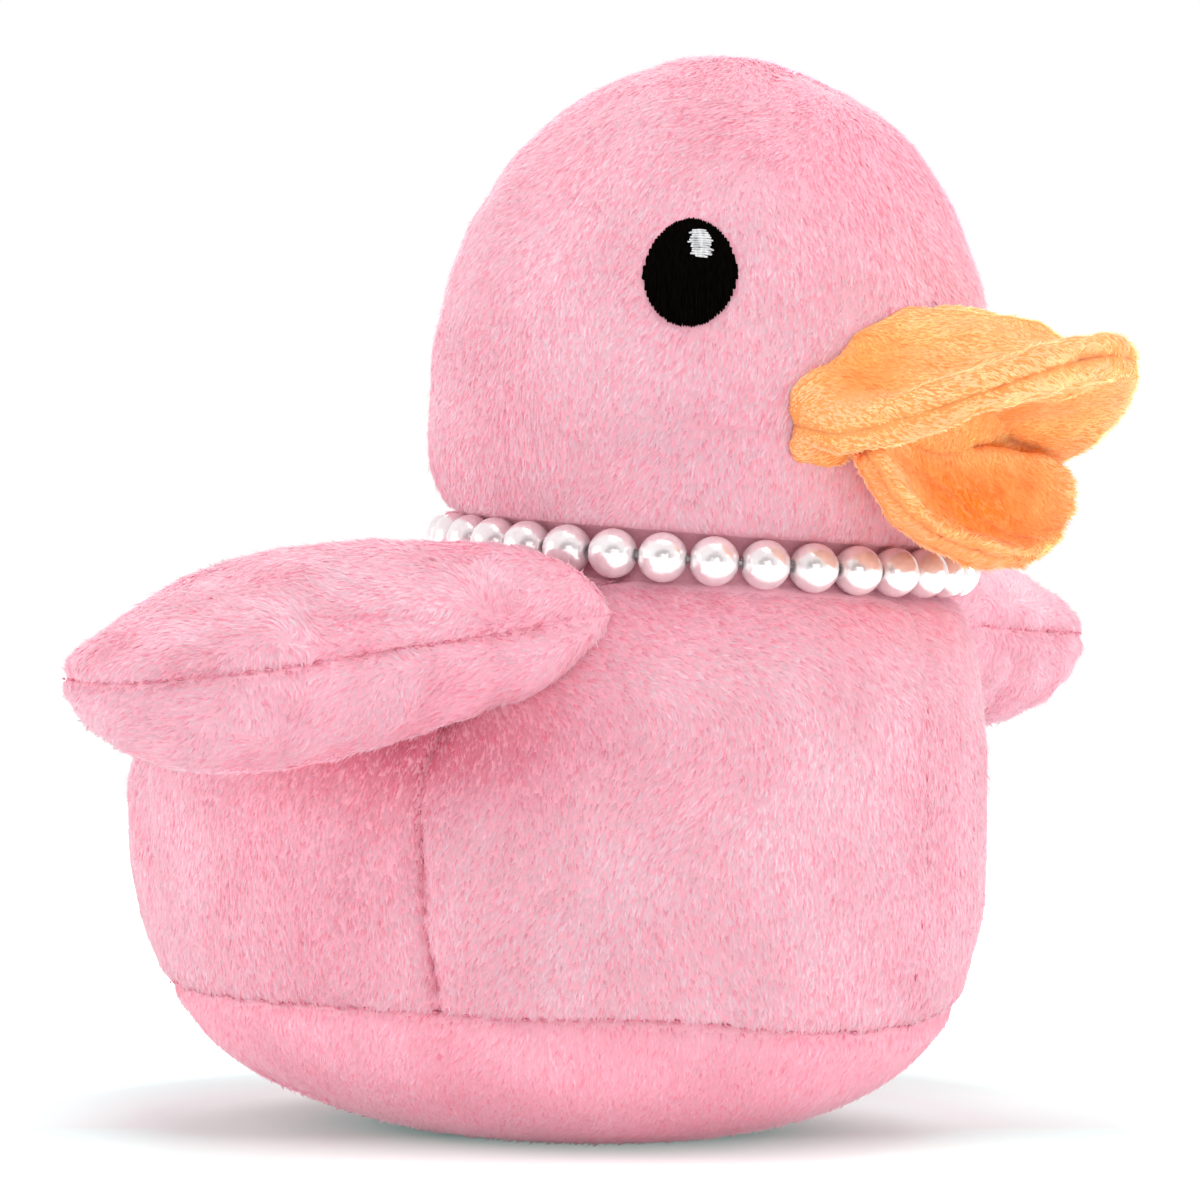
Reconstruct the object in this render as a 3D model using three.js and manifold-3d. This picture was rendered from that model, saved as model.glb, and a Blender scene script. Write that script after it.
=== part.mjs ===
// A stuffed duck of short pink pile, with an open orange bill, embroidered eyes and a string
// of round beads at its neck. Millimetres, +Z up. It faces -Y and rests on z = 0 with the
// middle of its body over the origin, so its own right side is at -X. "Ahead" means along -Y.
import * as THREE from "three";
import { mergeVertices } from "three/addons/utils/BufferGeometryUtils.js";
import Module from "manifold-3d";

const wasm = await Module();
wasm.setup();

// Driving sizes

const clothThickness = 1.5;
const seamGap = 0.3; // between sewn panels
const fillingGap = 0.6; // between a cover and its filling

const bead = { diameter: 8, bore: 1.5, spacing: 0.17, count: 33, clearance: 0.35 };
const necklaceTurn = THREE.MathUtils.degToRad(5.3); // how far the string is turned on the neck
const cord = { diameter: 0.7 };

const neck = { height: 99.5, ahead: 33.2, tilt: THREE.MathUtils.degToRad(5.5) };

const body = {
  halfWidth: 65.5,
  chestReach: 79.5,
  rearReach: 82.5,
  bellyHeight: 56,
  restDepth: 0.5, // how deep the rounded base is pressed flat
  baseSeamHeight: 25,
  shoulderDrop: 5.4, // from the neck seam down to where the shoulders start
};
const tail = { reach: 9, aboveBelly: 18, spread: 12 };

const head = {
  radius: 46.9,
  ahead: 35.6,
  cheeksAboveNeck: 26.5,
  topAboveCheeks: 56,
  jawDepth: 37,
  lipRise: 5.4,
};

const wing = {
  length: 67.5,
  rootBelowNeck: 12,
  rootAhead: 30,
  rootHalfWidth: 23,
  leadingBulge: 24,
  trailingBulge: 26,
  crown: 17.5,
  tipCrown: 9,
  depth: 18,
  rootClearance: 0.5,
  drop: THREE.MathUtils.degToRad(4), // how far each wing can be pressed down
  lift: THREE.MathUtils.degToRad(30), // and how far it can be lifted
};
// The two wings are sewn on at the same place and lie a little differently.
const wingLie = {
  right: { sweep: THREE.MathUtils.degToRad(30), droop: THREE.MathUtils.degToRad(9) },
  left: { sweep: THREE.MathUtils.degToRad(11), droop: THREE.MathUtils.degToRad(1) },
};

const upperBill = {
  halfWidth: 30,
  centreAhead: 48,
  tipLength: 28.5,
  rootLength: 23,
  rimAboveCheeks: 2.5,
  sideBelowCheeks: 10,
  cornerRise: 6,
  middleBelowCheeks: 2,
  crown: 13,
  sideCrown: 8,
  depth: 2.2,
  roll: 3, // how thick each panel's rolled rim is
  twist: 2.2, // how much higher the rim lies ahead on the left than on the right
  squareness: 0.85,
  rimCurl: 1.1,
};

const lowerBill = {
  halfWidth: 24.5,
  tipLength: 12,
  rootLength: 12,
  centreAhead: 49.5,
  centreBelowCheeks: 21,
  droop: THREE.MathUtils.degToRad(58),
  crown: 2.4,
  depth: 5,
  roll: 2.4,
  squareness: 0.5, // of its root end
  rimRise: 4.5,
  clearance: 0.4, // to the face that it swings at
  rootAhead: 45.5,
  rootBelowCheeks: 11.4,
  drop: THREE.MathUtils.degToRad(5), // how far it can be pressed down about its root
  lift: THREE.MathUtils.degToRad(25), // and how far it can be closed
};

const eye = {
  width: 15,
  height: 17.6,
  aside: THREE.MathUtils.degToRad(56.7),
  centreAboveCheeks: 16,
  edgeThickness: 0.5,
  middleThickness: 1.1,
};
const glint = { width: 3.9, height: 4.2, ahead: 1.7, above: 4.4, thickness: 0.4 };

// Shape powers of the rounded forms, and the counts of their faces

const bowlPower = { side: 2.7, chest: 3, rear: 2.38 };
const shoulderPower = {
  side: { climb: 1.9, reach: 1.1 },
  chest: { climb: 6, reach: 1.2 },
  rear: { climb: 2.4, reach: 1 },
};
const headPower = { crown: 2.1, jaw: 2.7 };
const tailPower = 10;
const flankTurn = THREE.MathUtils.degToRad(71); // the flank seams, from straight ahead

// The share of each rise at which a form has a ring of corners.
const bowlRiseShares = [0, 0.035, 0.13, 0.31, 0.6, 1];
const flankRiseShares = [0.3, 0.62, 1];
const shoulderRiseShares = [0.2, 0.42, 0.62, 0.8, 0.92, 1];
const jawRiseShares = [0, 0.22, 0.6, 1];
const crownTurnShares = [0.17, 0.34, 0.5, 0.66, 0.81, 0.93];
const grooveTurns = [76, 48, 22, 0].map(THREE.MathUtils.degToRad);
const padTurnShares = [0, 0.22, 0.48, 0.74, 1];
const rollShare = 0.33; // the share of a bill panel's rise at which its rolled rim ends
const domePower = 2.8;
const rootFlattening = 1.35; // of a wing's bulge, towards its root seam
const chestColumns = 6;
const rearColumns = 7;
const headColumns = 12;
const padColumns = 18;
const beadSides = 8;
const beadArcs = 6;
const cordSides = 5;

// Sizes that follow from the driving ones

const beadRadius = bead.diameter / 2;
const ringRadius = (bead.diameter + bead.spacing) / (2 * Math.sin(Math.PI / bead.count));
const grooveRadius = beadRadius + bead.clearance;
const neckRadius = ringRadius - grooveRadius;
const neckCentre = new THREE.Vector3(0, -neck.ahead, neck.height);
const cheekHeight = neck.height + head.cheeksAboveNeck;
const headTop = cheekHeight + head.topAboveCheeks;
const tailHeight = body.bellyHeight + tail.aboveBelly;
const wingHeight = neck.height - wing.rootBelowNeck;
const eyeHeight = cheekHeight + eye.centreAboveCheeks;
const fillingInset = clothThickness + fillingGap;
const mergeReach = seamGap / 3000; // corners nearer than this are one
const up = new THREE.Vector3(0, 0, 1);
const aside = new THREE.Vector3(1, 0, 0);

// Materials

const cloth = (color, roughness) => new THREE.MeshStandardMaterial({ color, roughness, metalness: 0 });
const pinkPile = () => cloth(0xf2a9bd, 0.95);
const orangePile = () => cloth(0xfba35a, 0.95);
const fibre = () => cloth(0xf4f2ee, 1);
const blackThread = () => cloth(0x0c0a0a, 0.7);
const whiteThread = () => cloth(0xe9e9ea, 0.6);
const clearElastic = () => cloth(0xf0eeee, 0.3);
const pearl = () => cloth(0xf6ecea, 0.18);

// Grids of points, and the closed solids made of them

// The direction of a curve at a point of it, whose two neighbours may be unequally far.
function tangent(before, here, after) {
  const back = new THREE.Vector3().subVectors(here, before);
  const forth = new THREE.Vector3().subVectors(after, here);
  const [backLength, forthLength] = [back.length(), forth.length()];
  if (backLength === 0 || forthLength === 0) return back.add(forth).normalize();
  back.multiplyScalar(forthLength / backLength);
  forth.multiplyScalar(backLength / forthLength);
  return back.add(forth).normalize();
}

function gridNormals(points, closed) {
  const rows = points.length;
  const columns = points[0].length;
  return points.map((row, i) => {
    const below = points[Math.max(i - 1, 0)];
    const above = points[Math.min(i + 1, rows - 1)];
    return row.map((_, j) => {
      const left = closed ? (j + columns - 1) % columns : Math.max(j - 1, 0);
      const right = closed ? (j + 1) % columns : Math.min(j + 1, columns - 1);
      const along = tangent(row[left], row[j], row[right]);
      const rise = tangent(below[j], row[j], above[j]);
      const normal = along.cross(rise);
      return normal.lengthSq() > 1e-12 ? normal.normalize() : up.clone();
    });
  });
}

const offset = (points, normals, distance) =>
  points.map((row, i) => row.map((p, j) => p.clone().addScaledVector(normals[i][j], distance)));

function solidFrom(quads, triangles = []) {
  const corners = [];
  for (const [a, b, c, d] of quads) corners.push(a, b, c, a, c, d);
  for (const triangle of triangles) corners.push(...triangle);
  const loose = new THREE.BufferGeometry().setFromPoints(corners);
  const merged = mergeVertices(loose, mergeReach);
  const index = merged.index.array;
  const kept = [];
  for (let i = 0; i < index.length; i += 3) {
    const [a, b, c] = [index[i], index[i + 1], index[i + 2]];
    if (a !== b && b !== c && c !== a) kept.push(a, b, c);
  }
  merged.setIndex(kept);
  return facingOut(merged);
}

function signedVolume(geometry) {
  const at = geometry.getAttribute("position");
  const index = geometry.index.array;
  const corner = (k) => new THREE.Vector3().fromBufferAttribute(at, index[k]);
  let sum = 0;
  for (let i = 0; i < index.length; i += 3) sum += corner(i).dot(corner(i + 1).cross(corner(i + 2)));
  return sum;
}

function facingOut(geometry) {
  if (signedVolume(geometry) >= 0) return geometry;
  const index = Array.from(geometry.index.array);
  for (let i = 0; i < index.length; i += 3) [index[i + 1], index[i + 2]] = [index[i + 2], index[i + 1]];
  return geometry.setIndex(index);
}

// A sheet of cloth between an outer and an inner grid, closed along all its free edges.
// Facing edges of two sheets are split the same way, so that they stay apart.
function sheet(outer, inner, closed) {
  const quads = [];
  const rows = outer.length;
  const columns = outer[0].length;
  const last = closed ? columns : columns - 1;
  for (let i = 0; i < rows - 1; i++) {
    for (let j = 0; j < last; j++) {
      const k = (j + 1) % columns;
      quads.push([outer[i][j], outer[i][k], outer[i + 1][k], outer[i + 1][j]]);
      quads.push([inner[i][j], inner[i + 1][j], inner[i + 1][k], inner[i][k]]);
    }
  }
  for (let j = 0; j < last; j++) {
    const k = (j + 1) % columns;
    const top = rows - 1;
    quads.push([outer[0][k], outer[0][j], inner[0][j], inner[0][k]]);
    quads.push([outer[top][k], inner[top][k], inner[top][j], outer[top][j]]);
  }
  if (!closed) {
    const side = columns - 1;
    for (let i = 0; i < rows - 1; i++) {
      quads.push([outer[i + 1][0], inner[i + 1][0], inner[i][0], outer[i][0]]);
      quads.push([outer[i + 1][side], outer[i][side], inner[i][side], inner[i + 1][side]]);
    }
  }
  return solidFrom(quads);
}

// A lump inside closed rings, with a flat fan over each end.
function lump(rings) {
  const quads = [];
  const triangles = [];
  const columns = rings[0].length;
  const middle = (ring) =>
    ring.reduce((sum, p) => sum.add(p), new THREE.Vector3()).divideScalar(ring.length);
  const [bottom, top] = [rings[0], rings[rings.length - 1]];
  const [under, over] = [middle(bottom), middle(top)];
  for (let j = 0; j < columns; j++) {
    const k = (j + 1) % columns;
    for (let i = 0; i < rings.length - 1; i++) {
      quads.push([rings[i][j], rings[i][k], rings[i + 1][k], rings[i + 1][j]]);
    }
    triangles.push([bottom[k], bottom[j], under]);
    triangles.push([top[j], top[k], over]);
  }
  return solidFrom(quads, triangles);
}

const everyOther = (rings) => rings.map((ring) => ring.filter((_, j) => j % 2 === 0));

// Cutting one solid by another

function manifoldOf(geometry) {
  const bare = new THREE.BufferGeometry();
  bare.setAttribute("position", geometry.getAttribute("position"));
  bare.setIndex(geometry.index);
  const merged = mergeVertices(bare, mergeReach);
  const mesh = new wasm.Mesh({
    numProp: 3,
    vertProperties: new Float32Array(merged.getAttribute("position").array),
    triVerts: new Uint32Array(merged.index.array),
  });
  return new wasm.Manifold(mesh);
}

function cutAway(geometry, tool) {
  const whole = manifoldOf(geometry).subtract(manifoldOf(tool));
  const piece = whole.decompose().sort((a, b) => b.volume() - a.volume())[0];
  const mesh = piece.getMesh();
  const cut = new THREE.BufferGeometry();
  cut.setAttribute("position", new THREE.BufferAttribute(new Float32Array(mesh.vertProperties), 3));
  cut.setIndex(Array.from(mesh.triVerts));
  return cut;
}

function turnedAbout(geometry, point, turn) {
  const moved = geometry.clone().translate(-point.x, -point.y, -point.z);
  return turn(moved).translate(point.x, point.y, point.z);
}

// The neck seam lies in a groove round the beads, on a circle that tips down ahead.

const tipped = (x, y, height, share) =>
  new THREE.Vector3(x, y, height + Math.tan(neck.tilt) * (y + neck.ahead) * share);

function grooveRing(turn, turns, side) {
  const radius = ringRadius - grooveRadius * Math.cos(turn);
  const rise = side * (grooveRadius * Math.sin(turn) + seamGap / 2);
  return turns.map((phi) =>
    new THREE.Vector3(radius * Math.sin(phi), -radius * Math.cos(phi), rise)
      .applyAxisAngle(aside, neck.tilt)
      .add(neckCentre),
  );
}

const superArc = (share, power) => (1 - share ** power) ** (1 / power);

// Body: a bowl that carries the belly, then shoulders that close to the neck

const shoulderHeight = neck.height - body.shoulderDrop;

function bodySection(height) {
  if (height <= body.bellyHeight) {
    const drop = (body.bellyHeight - height) / (body.bellyHeight + body.restDepth);
    return {
      side: body.halfWidth * superArc(drop, bowlPower.side),
      chest: body.chestReach * superArc(drop, bowlPower.chest),
      rear: body.rearReach * superArc(drop, bowlPower.rear),
      tip: 0,
    };
  }
  const climb = (height - body.bellyHeight) / (neck.height - body.bellyHeight);
  const closing = (from, to, power) => to + (from - to) * (1 - climb ** power.climb) ** (1 / power.reach);
  return {
    side: closing(body.halfWidth, neckRadius, shoulderPower.side),
    chest: closing(body.chestReach, neck.ahead + neckRadius, shoulderPower.chest),
    rear: closing(body.rearReach, neckRadius - neck.ahead, shoulderPower.rear),
    tip: ((height - body.bellyHeight) / (shoulderHeight - body.bellyHeight)) ** 2,
  };
}

function bodyRing(height, turns) {
  const { side, chest, rear, tip } = bodySection(height);
  const middle = (chest - rear) / 2;
  const reach = (chest + rear) / 2;
  const swell = tail.reach * Math.exp(-(((height - tailHeight) / tail.spread) ** 2));
  return turns.map((phi) => {
    const tailReach = swell * Math.max(0, -Math.cos(phi)) ** tailPower;
    const ahead = middle + reach * Math.cos(phi) - tailReach;
    return tipped(side * Math.sin(phi), -ahead, height, tip);
  });
}

function between(start, end, steps) {
  return Array.from({ length: steps + 1 }, (_, i) => start + ((end - start) * i) / steps);
}

const seamTurn = seamGap / 2 / neckRadius;
const leftTurns = [
  ...between(seamTurn, flankTurn - seamTurn, chestColumns),
  ...between(flankTurn + seamTurn, Math.PI - seamTurn, rearColumns),
];
const bodyTurns = [...leftTurns, ...leftTurns.map((phi) => 2 * Math.PI - phi).reverse()];

const baseSeam = { low: body.baseSeamHeight - seamGap / 2, high: body.baseSeamHeight + seamGap / 2 };
const rise = (low, high, shares) => shares.map((share) => low + (high - low) * share);
const baseHeights = rise(0, baseSeam.low, bowlRiseShares);
const flankHeights = [baseSeam.high, ...rise(baseSeam.high, body.bellyHeight, flankRiseShares)];
const shoulderHeights = rise(body.bellyHeight, shoulderHeight, shoulderRiseShares);
const bodyGrid = [
  ...[...baseHeights, ...flankHeights, ...shoulderHeights].map((h) => bodyRing(h, bodyTurns)),
  ...grooveTurns.map((turn) => grooveRing(turn, bodyTurns, -1)),
];
const bodyNormals = gridNormals(bodyGrid, true);
const bodyLining = offset(bodyGrid, bodyNormals, -clothThickness);

// The base panel rests flat on z = 0, so its lining is level there too.
bodyLining[0] = bodyGrid[0].map((p, j) => {
  const inward = new THREE.Vector3(-bodyNormals[0][j].x, -bodyNormals[0][j].y, 0).normalize();
  return p.clone().addScaledVector(inward, clothThickness / 2).setZ(clothThickness);
});

function basePanel() {
  const rows = baseHeights.length;
  const floor = [bodyGrid[0].map((p) => new THREE.Vector3(0, middleOf(bodyGrid[0]).y, p.z))];
  const lining = [bodyLining[0].map((p) => new THREE.Vector3(0, middleOf(bodyGrid[0]).y, p.z))];
  return sheet([...floor, ...bodyGrid.slice(0, rows)], [...lining, ...bodyLining.slice(0, rows)], true);
}

function middleOf(ring) {
  return ring.reduce((sum, p) => sum.add(p), new THREE.Vector3()).divideScalar(ring.length);
}

// One side panel of the body: the columns from one seam to the next.
function sidePanel(firstColumn, lastColumn) {
  const cutOut = (grid) =>
    grid.slice(baseHeights.length).map((row) => row.slice(firstColumn, lastColumn + 1));
  return sheet(cutOut(bodyGrid), cutOut(bodyLining), false);
}

// The body as a cutting tool: its outside, grown by a clearance.
const bodyTool = (clearance) => lump(offset(bodyGrid, bodyNormals, clearance));

const bodyFilling = () => {
  const rings = everyOther(offset(bodyGrid, bodyNormals, -fillingInset));
  rings[0].forEach((p) => p.setZ(fillingInset));
  return lump(rings);
};

// Head: an egg on a jaw that draws in to the neck

function headRadius(height) {
  const above = height >= cheekHeight;
  const reach = above ? head.topAboveCheeks : head.jawDepth;
  const share = Math.min(Math.abs(height - cheekHeight) / reach, 1);
  return head.radius * superArc(share, above ? headPower.crown : headPower.jaw);
}

const lipHeight = neck.height + head.lipRise;

// How near a height is to the neck's lip, from 0 at the cheeks to 1.
const neckShare = (height) =>
  THREE.MathUtils.clamp((cheekHeight - height) / (cheekHeight - lipHeight), 0, 1);

function headPoint(radius, phi, height) {
  const share = neckShare(height);
  const ahead = THREE.MathUtils.lerp(head.ahead, neck.ahead, share);
  return tipped(radius * Math.sin(phi), -ahead - radius * Math.cos(phi), height, share ** 2);
}

const jawHeights = rise(lipHeight, cheekHeight, jawRiseShares);
const crownHeights = crownTurnShares.map(
  (share) => cheekHeight + head.topAboveCheeks * Math.sin((share * Math.PI) / 2),
);

const headRing = (height, turns) => turns.map((phi) => headPoint(headRadius(height), phi, height));

// Turns of one half of the head that stay half a seam gap from the middle plane.
function halfTurns(radius) {
  const start = Math.asin(Math.min(1, seamGap / 2 / radius));
  return between(start, Math.PI - start, headColumns);
}

function headHalfGrid() {
  const groove = [...grooveTurns].reverse();
  const grooveRows = groove.map((turn) =>
    grooveRing(turn, halfTurns(ringRadius - grooveRadius * Math.cos(turn)), 1),
  );
  const rows = [...jawHeights, ...crownHeights].map((h) => headRing(h, halfTurns(headRadius(h))));
  const crown = halfTurns(seamGap / 2).map(
    () => new THREE.Vector3(seamGap / 2, -head.ahead, headTop),
  );
  return [...grooveRows, ...rows, crown];
}

function headHalf() {
  const grid = headHalfGrid();
  const normals = gridNormals(grid, false);
  const top = normals.length - 1;
  normals[top] = normals[top].map(() => up.clone());
  // At the seam the lining keeps to the same plane as the outside.
  for (const row of normals) {
    row[0].setX(0).normalize();
    row[row.length - 1].setX(0).normalize();
  }
  return sheet(grid, offset(grid, normals, -clothThickness), false);
}

function headRings(distance, turns) {
  const groove = [...grooveTurns].reverse();
  const rows = [
    ...groove.map((turn) => grooveRing(turn, turns, 1)),
    ...[...jawHeights, ...crownHeights].map((h) => headRing(h, turns)),
  ];
  return offset(rows, gridNormals(rows, true), distance);
}

// Without the two rings beside the neck's lip, where a filling rounds the corner.
const withoutLip = (rings, lip) => rings.filter((_, i) => i !== lip && i !== lip - 1);

const loopTurns = (count) => between(0, 2 * Math.PI, count).slice(0, count);

const headFilling = () =>
  lump(withoutLip(headRings(-fillingInset, loopTurns(2 * headColumns)), grooveTurns.length));

// The face as a cutting tool: the head's outside, grown by a clearance.
const faceTool = (clearance) => lump(headRings(clearance, loopTurns(2 * headColumns)));

const mirrored = (geometry) => facingOut(geometry.clone().scale(-1, 1, 1));

// A sewn pad of two panels that meet at an edge seam, round a filling. The outline gives
// the seam at each turn, and the crown and depth say how far each panel bulges.
function padGrid(pad, side, inset) {
  return padTurnShares.map((share) => {
    const turn = (share * Math.PI) / 2;
    return loopTurns(padColumns).map((phi) => pad.point(Math.cos(turn), Math.sin(turn), phi, side, inset));
  });
}

function padPanel(pad, side) {
  return sheet(padGrid(pad, side, 0), padGrid(pad, side, clothThickness), true);
}

function padFilling(pad) {
  const bottom = padGrid(pad, -1, fillingInset).reverse();
  return lump([...bottom, ...padGrid(pad, 1, fillingInset)]);
}

// Wings: leaf-shaped pads whose root seam follows the side of the body

function flankAt(ahead) {
  const { side, chest, rear } = bodySection(wingHeight);
  return side * Math.sqrt(1 - ((2 * ahead - chest + rear) / (chest + rear)) ** 2);
}

const wingRoot = new THREE.Vector3(flankAt(wing.rootAhead), -wing.rootAhead, wingHeight);

function wingPad({ sweep, droop }) {
  const rootPoint = (aheadShare) => {
    const ahead = wing.rootAhead + wing.rootHalfWidth * aheadShare;
    return new THREE.Vector2(flankAt(ahead) + wing.rootClearance, ahead);
  };
  const rootMiddle = rootPoint(0);
  const out = new THREE.Vector2(Math.cos(sweep), -Math.sin(sweep));
  const forward = new THREE.Vector2(Math.sin(sweep), Math.cos(sweep));
  const at = (outShare, aheadLength) =>
    rootMiddle
      .clone()
      .addScaledVector(out, wing.length * outShare)
      .addScaledVector(forward, aheadLength);
  const leadingShares = [
    [0.38, 0.93],
    [0.68, 0.98],
    [0.92, 0.62],
  ];
  const trailingShares = [
    [0.9, 0.6],
    [0.64, 1],
    [0.34, 0.98],
  ];
  const corners = [
    rootPoint(0),
    rootPoint(0.85),
    ...leadingShares.map(([along, bulge]) => at(along, wing.leadingBulge * bulge)),
    at(1, 0),
    ...trailingShares.map(([along, bulge]) => at(along, -wing.trailingBulge * bulge)),
    rootPoint(-0.85),
  ];
  const outline = new THREE.CatmullRomCurve3(
    corners.map((c) => new THREE.Vector3(c.x, -c.y, 0)),
    true,
    "centripetal",
  );
  const heart = at(0.52, 0);
  const centre = new THREE.Vector3(heart.x, -heart.y, 0);
  return {
    point(edgeShare, bulgeShare, phi, side, inset) {
      const seam = outline.getPoint(phi / (2 * Math.PI));
      const spoke = seam.sub(centre);
      const length = spoke.length();
      const rootward = Math.max(0, -spoke.x / length) ** 2;
      const shape = bulgeShare ** (1 + rootFlattening * rootward);
      const p = centre.clone().addScaledVector(spoke, (edgeShare * (length - inset)) / length);
      const outShare = (p.x - rootMiddle.x) / wing.length;
      const crown = THREE.MathUtils.lerp(wing.crown, wing.tipCrown, outShare);
      const bulge = (side > 0 ? crown : wing.depth) - inset;
      const lift = seamGap / 2 + bulge * shape;
      const fall = Math.tan(droop) * (p.x - rootMiddle.x);
      return new THREE.Vector3(p.x, p.y, wingHeight - fall + side * lift);
    },
  };
}

// Bills: pads with a rolled rim, fitted to the face

const rolledRise = (crown, roll, bulgeShare) =>
  roll * Math.min(1, bulgeShare / rollShare) + (crown - roll) * bulgeShare ** domePower;

const squared = (share, power) => Math.sign(share) * Math.abs(share) ** power;

function upperBillPad() {
  const rimHeight = cheekHeight + upperBill.rimAboveCheeks;
  const sideHeight = cheekHeight - upperBill.sideBelowCheeks;
  const middleHeight = cheekHeight - upperBill.middleBelowCheeks;
  return {
    point(edgeShare, bulgeShare, phi, side, inset) {
      const length = Math.cos(phi) > 0 ? upperBill.tipLength : upperBill.rootLength;
      const x = (upperBill.halfWidth - inset) * Math.sin(phi) * edgeShare;
      const y = (length - inset) * squared(Math.cos(phi), upperBill.squareness) * edgeShare;
      const out = Math.hypot(x / upperBill.halfWidth, y / length);
      const front = Math.max(0, Math.cos(phi)) ** upperBill.rimCurl;
      const back = Math.max(0, -Math.cos(phi));
      const seamHeight =
        THREE.MathUtils.lerp(sideHeight, rimHeight, front) +
        upperBill.cornerRise * back +
        upperBill.twist * Math.max(0, Math.cos(phi)) * 2 * Math.sin(phi);
      const middle = THREE.MathUtils.lerp(middleHeight, seamHeight, out ** 2);
      const sideShare = edgeShare * Math.sin(phi) ** 2;
      const crown = THREE.MathUtils.lerp(upperBill.crown, upperBill.sideCrown, sideShare);
      const rise = (side > 0 ? crown : upperBill.depth) - inset;
      const lift = seamGap / 2 + rolledRise(rise, upperBill.roll - inset, bulgeShare);
      return new THREE.Vector3(x, -head.ahead - upperBill.centreAhead - y, middle + side * lift);
    },
  };
}

function lowerBillPad() {
  const pitch = new THREE.Euler(lowerBill.droop, 0, 0);
  const centre = new THREE.Vector3(
    0,
    -head.ahead - lowerBill.centreAhead,
    cheekHeight - lowerBill.centreBelowCheeks,
  );
  return {
    point(edgeShare, bulgeShare, phi, side, inset) {
      const ahead = Math.cos(phi) > 0;
      const length = ahead ? lowerBill.tipLength : lowerBill.rootLength;
      const power = ahead ? 1 : lowerBill.squareness;
      const x = (lowerBill.halfWidth - inset) * squared(Math.sin(phi), power) * edgeShare;
      const y = (length - inset) * squared(Math.cos(phi), power) * edgeShare;
      const out = Math.hypot(x / lowerBill.halfWidth, y / length);
      const rise = (side > 0 ? lowerBill.crown : lowerBill.depth) - inset;
      const lift = seamGap / 2 + rolledRise(rise, lowerBill.roll - inset, bulgeShare);
      const rim = lowerBill.rimRise * out ** 2 * Math.min(1, 1 + Math.cos(phi));
      return new THREE.Vector3(x, -y, rim + side * lift).applyEuler(pitch).add(centre);
    },
  };
}

// Embroidered patches on the face

function facePoint(turn, height, distance) {
  const radius = headRadius(height);
  const step = head.radius / 100;
  const slope = (headRadius(height + step) - headRadius(height - step)) / (2 * step);
  const outward = new THREE.Vector3(Math.sin(turn), -Math.cos(turn), -slope).normalize();
  return headPoint(radius, turn, height).addScaledVector(outward, distance);
}

function patch(size, turn, height, sides, floorAt, topAt) {
  const radius = headRadius(height);
  const edgeShares = [1, 0.62, 0.02];
  const layer = (distanceAt) =>
    edgeShares.map((share) =>
      loopTurns(sides).map((phi) =>
        facePoint(
          turn + (share * size.width * Math.sin(phi)) / 2 / radius,
          height + (share * size.height * Math.cos(phi)) / 2,
          distanceAt(share),
        ),
      ),
    );
  const rings = [...layer(floorAt).reverse(), ...layer(topAt)];
  return lump(rings);
}

const eyeTop = (share) =>
  seamGap + eye.edgeThickness + (eye.middleThickness - eye.edgeThickness) * (1 - share ** 2);

const eyePatch = () => patch(eye, eye.aside, eyeHeight, 16, () => seamGap, eyeTop);

function glintPatch() {
  const floor = seamGap + eye.middleThickness + seamGap;
  const turn = eye.aside - glint.ahead / head.radius;
  const top = () => floor + glint.thickness;
  return patch(glint, turn, eyeHeight + glint.above, 8, () => floor, top);
}

// Beads on their elastic cord

function beadShape() {
  const boreRadius = bead.bore / 2;
  const start = Math.asin(boreRadius / beadRadius);
  const arc = between(start, Math.PI - start, beadArcs).map(
    (turn) => new THREE.Vector2(beadRadius * Math.sin(turn), -beadRadius * Math.cos(turn)),
  );
  return new THREE.LatheGeometry([...arc, arc[0].clone()], beadSides);
}

// Straight through each bead, with its corners in the spaces between them.
function cordShape() {
  const halfStep = Math.PI / bead.count;
  const reach = ringRadius / Math.cos(halfStep);
  const ring = new THREE.TorusGeometry(reach, cord.diameter / 2, cordSides, bead.count);
  return ring.rotateZ(necklaceTurn + halfStep - Math.PI / 2);
}

// Assembly

const duck = new THREE.Group();

function add(name, geometry, material, parent = duck) {
  const mesh = new THREE.Mesh(geometry, material);
  mesh.name = name;
  parent.add(mesh);
  return mesh;
}

const chestEnd = chestColumns;
const leftEnd = leftTurns.length - 1;
const rightStart = leftTurns.length;
const rightFlank = rightStart + rearColumns;
add("chest_panel_left", sidePanel(0, chestEnd), pinkPile());
add("rear_panel_left", sidePanel(chestEnd + 1, leftEnd), pinkPile());
add("rear_panel_right", sidePanel(rightStart, rightFlank), pinkPile());
add("chest_panel_right", sidePanel(rightFlank + 1, bodyTurns.length - 1), pinkPile());
add("base_panel", basePanel(), pinkPile());
add("body_filling", bodyFilling(), fibre());

const leftHalf = headHalf();
add("head_half_left", leftHalf, pinkPile());
add("head_half_right", mirrored(leftHalf), pinkPile());
add("head_filling", headFilling(), fibre());

const leftEye = eyePatch();
const leftGlint = glintPatch();
add("eye_left", leftEye, blackThread());
add("eye_right", mirrored(leftEye), blackThread());
add("eye_glint_left", leftGlint, whiteThread());
add("eye_glint_right", mirrored(leftGlint), whiteThread());

const face = faceTool(seamGap);
const upperPad = upperBillPad();
add("upper_bill_top", cutAway(padPanel(upperPad, 1), face), orangePile());
add("upper_bill_underside", cutAway(padPanel(upperPad, -1), face), orangePile());
add("upper_bill_filling", cutAway(padFilling(upperPad), face), fibre());

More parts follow.
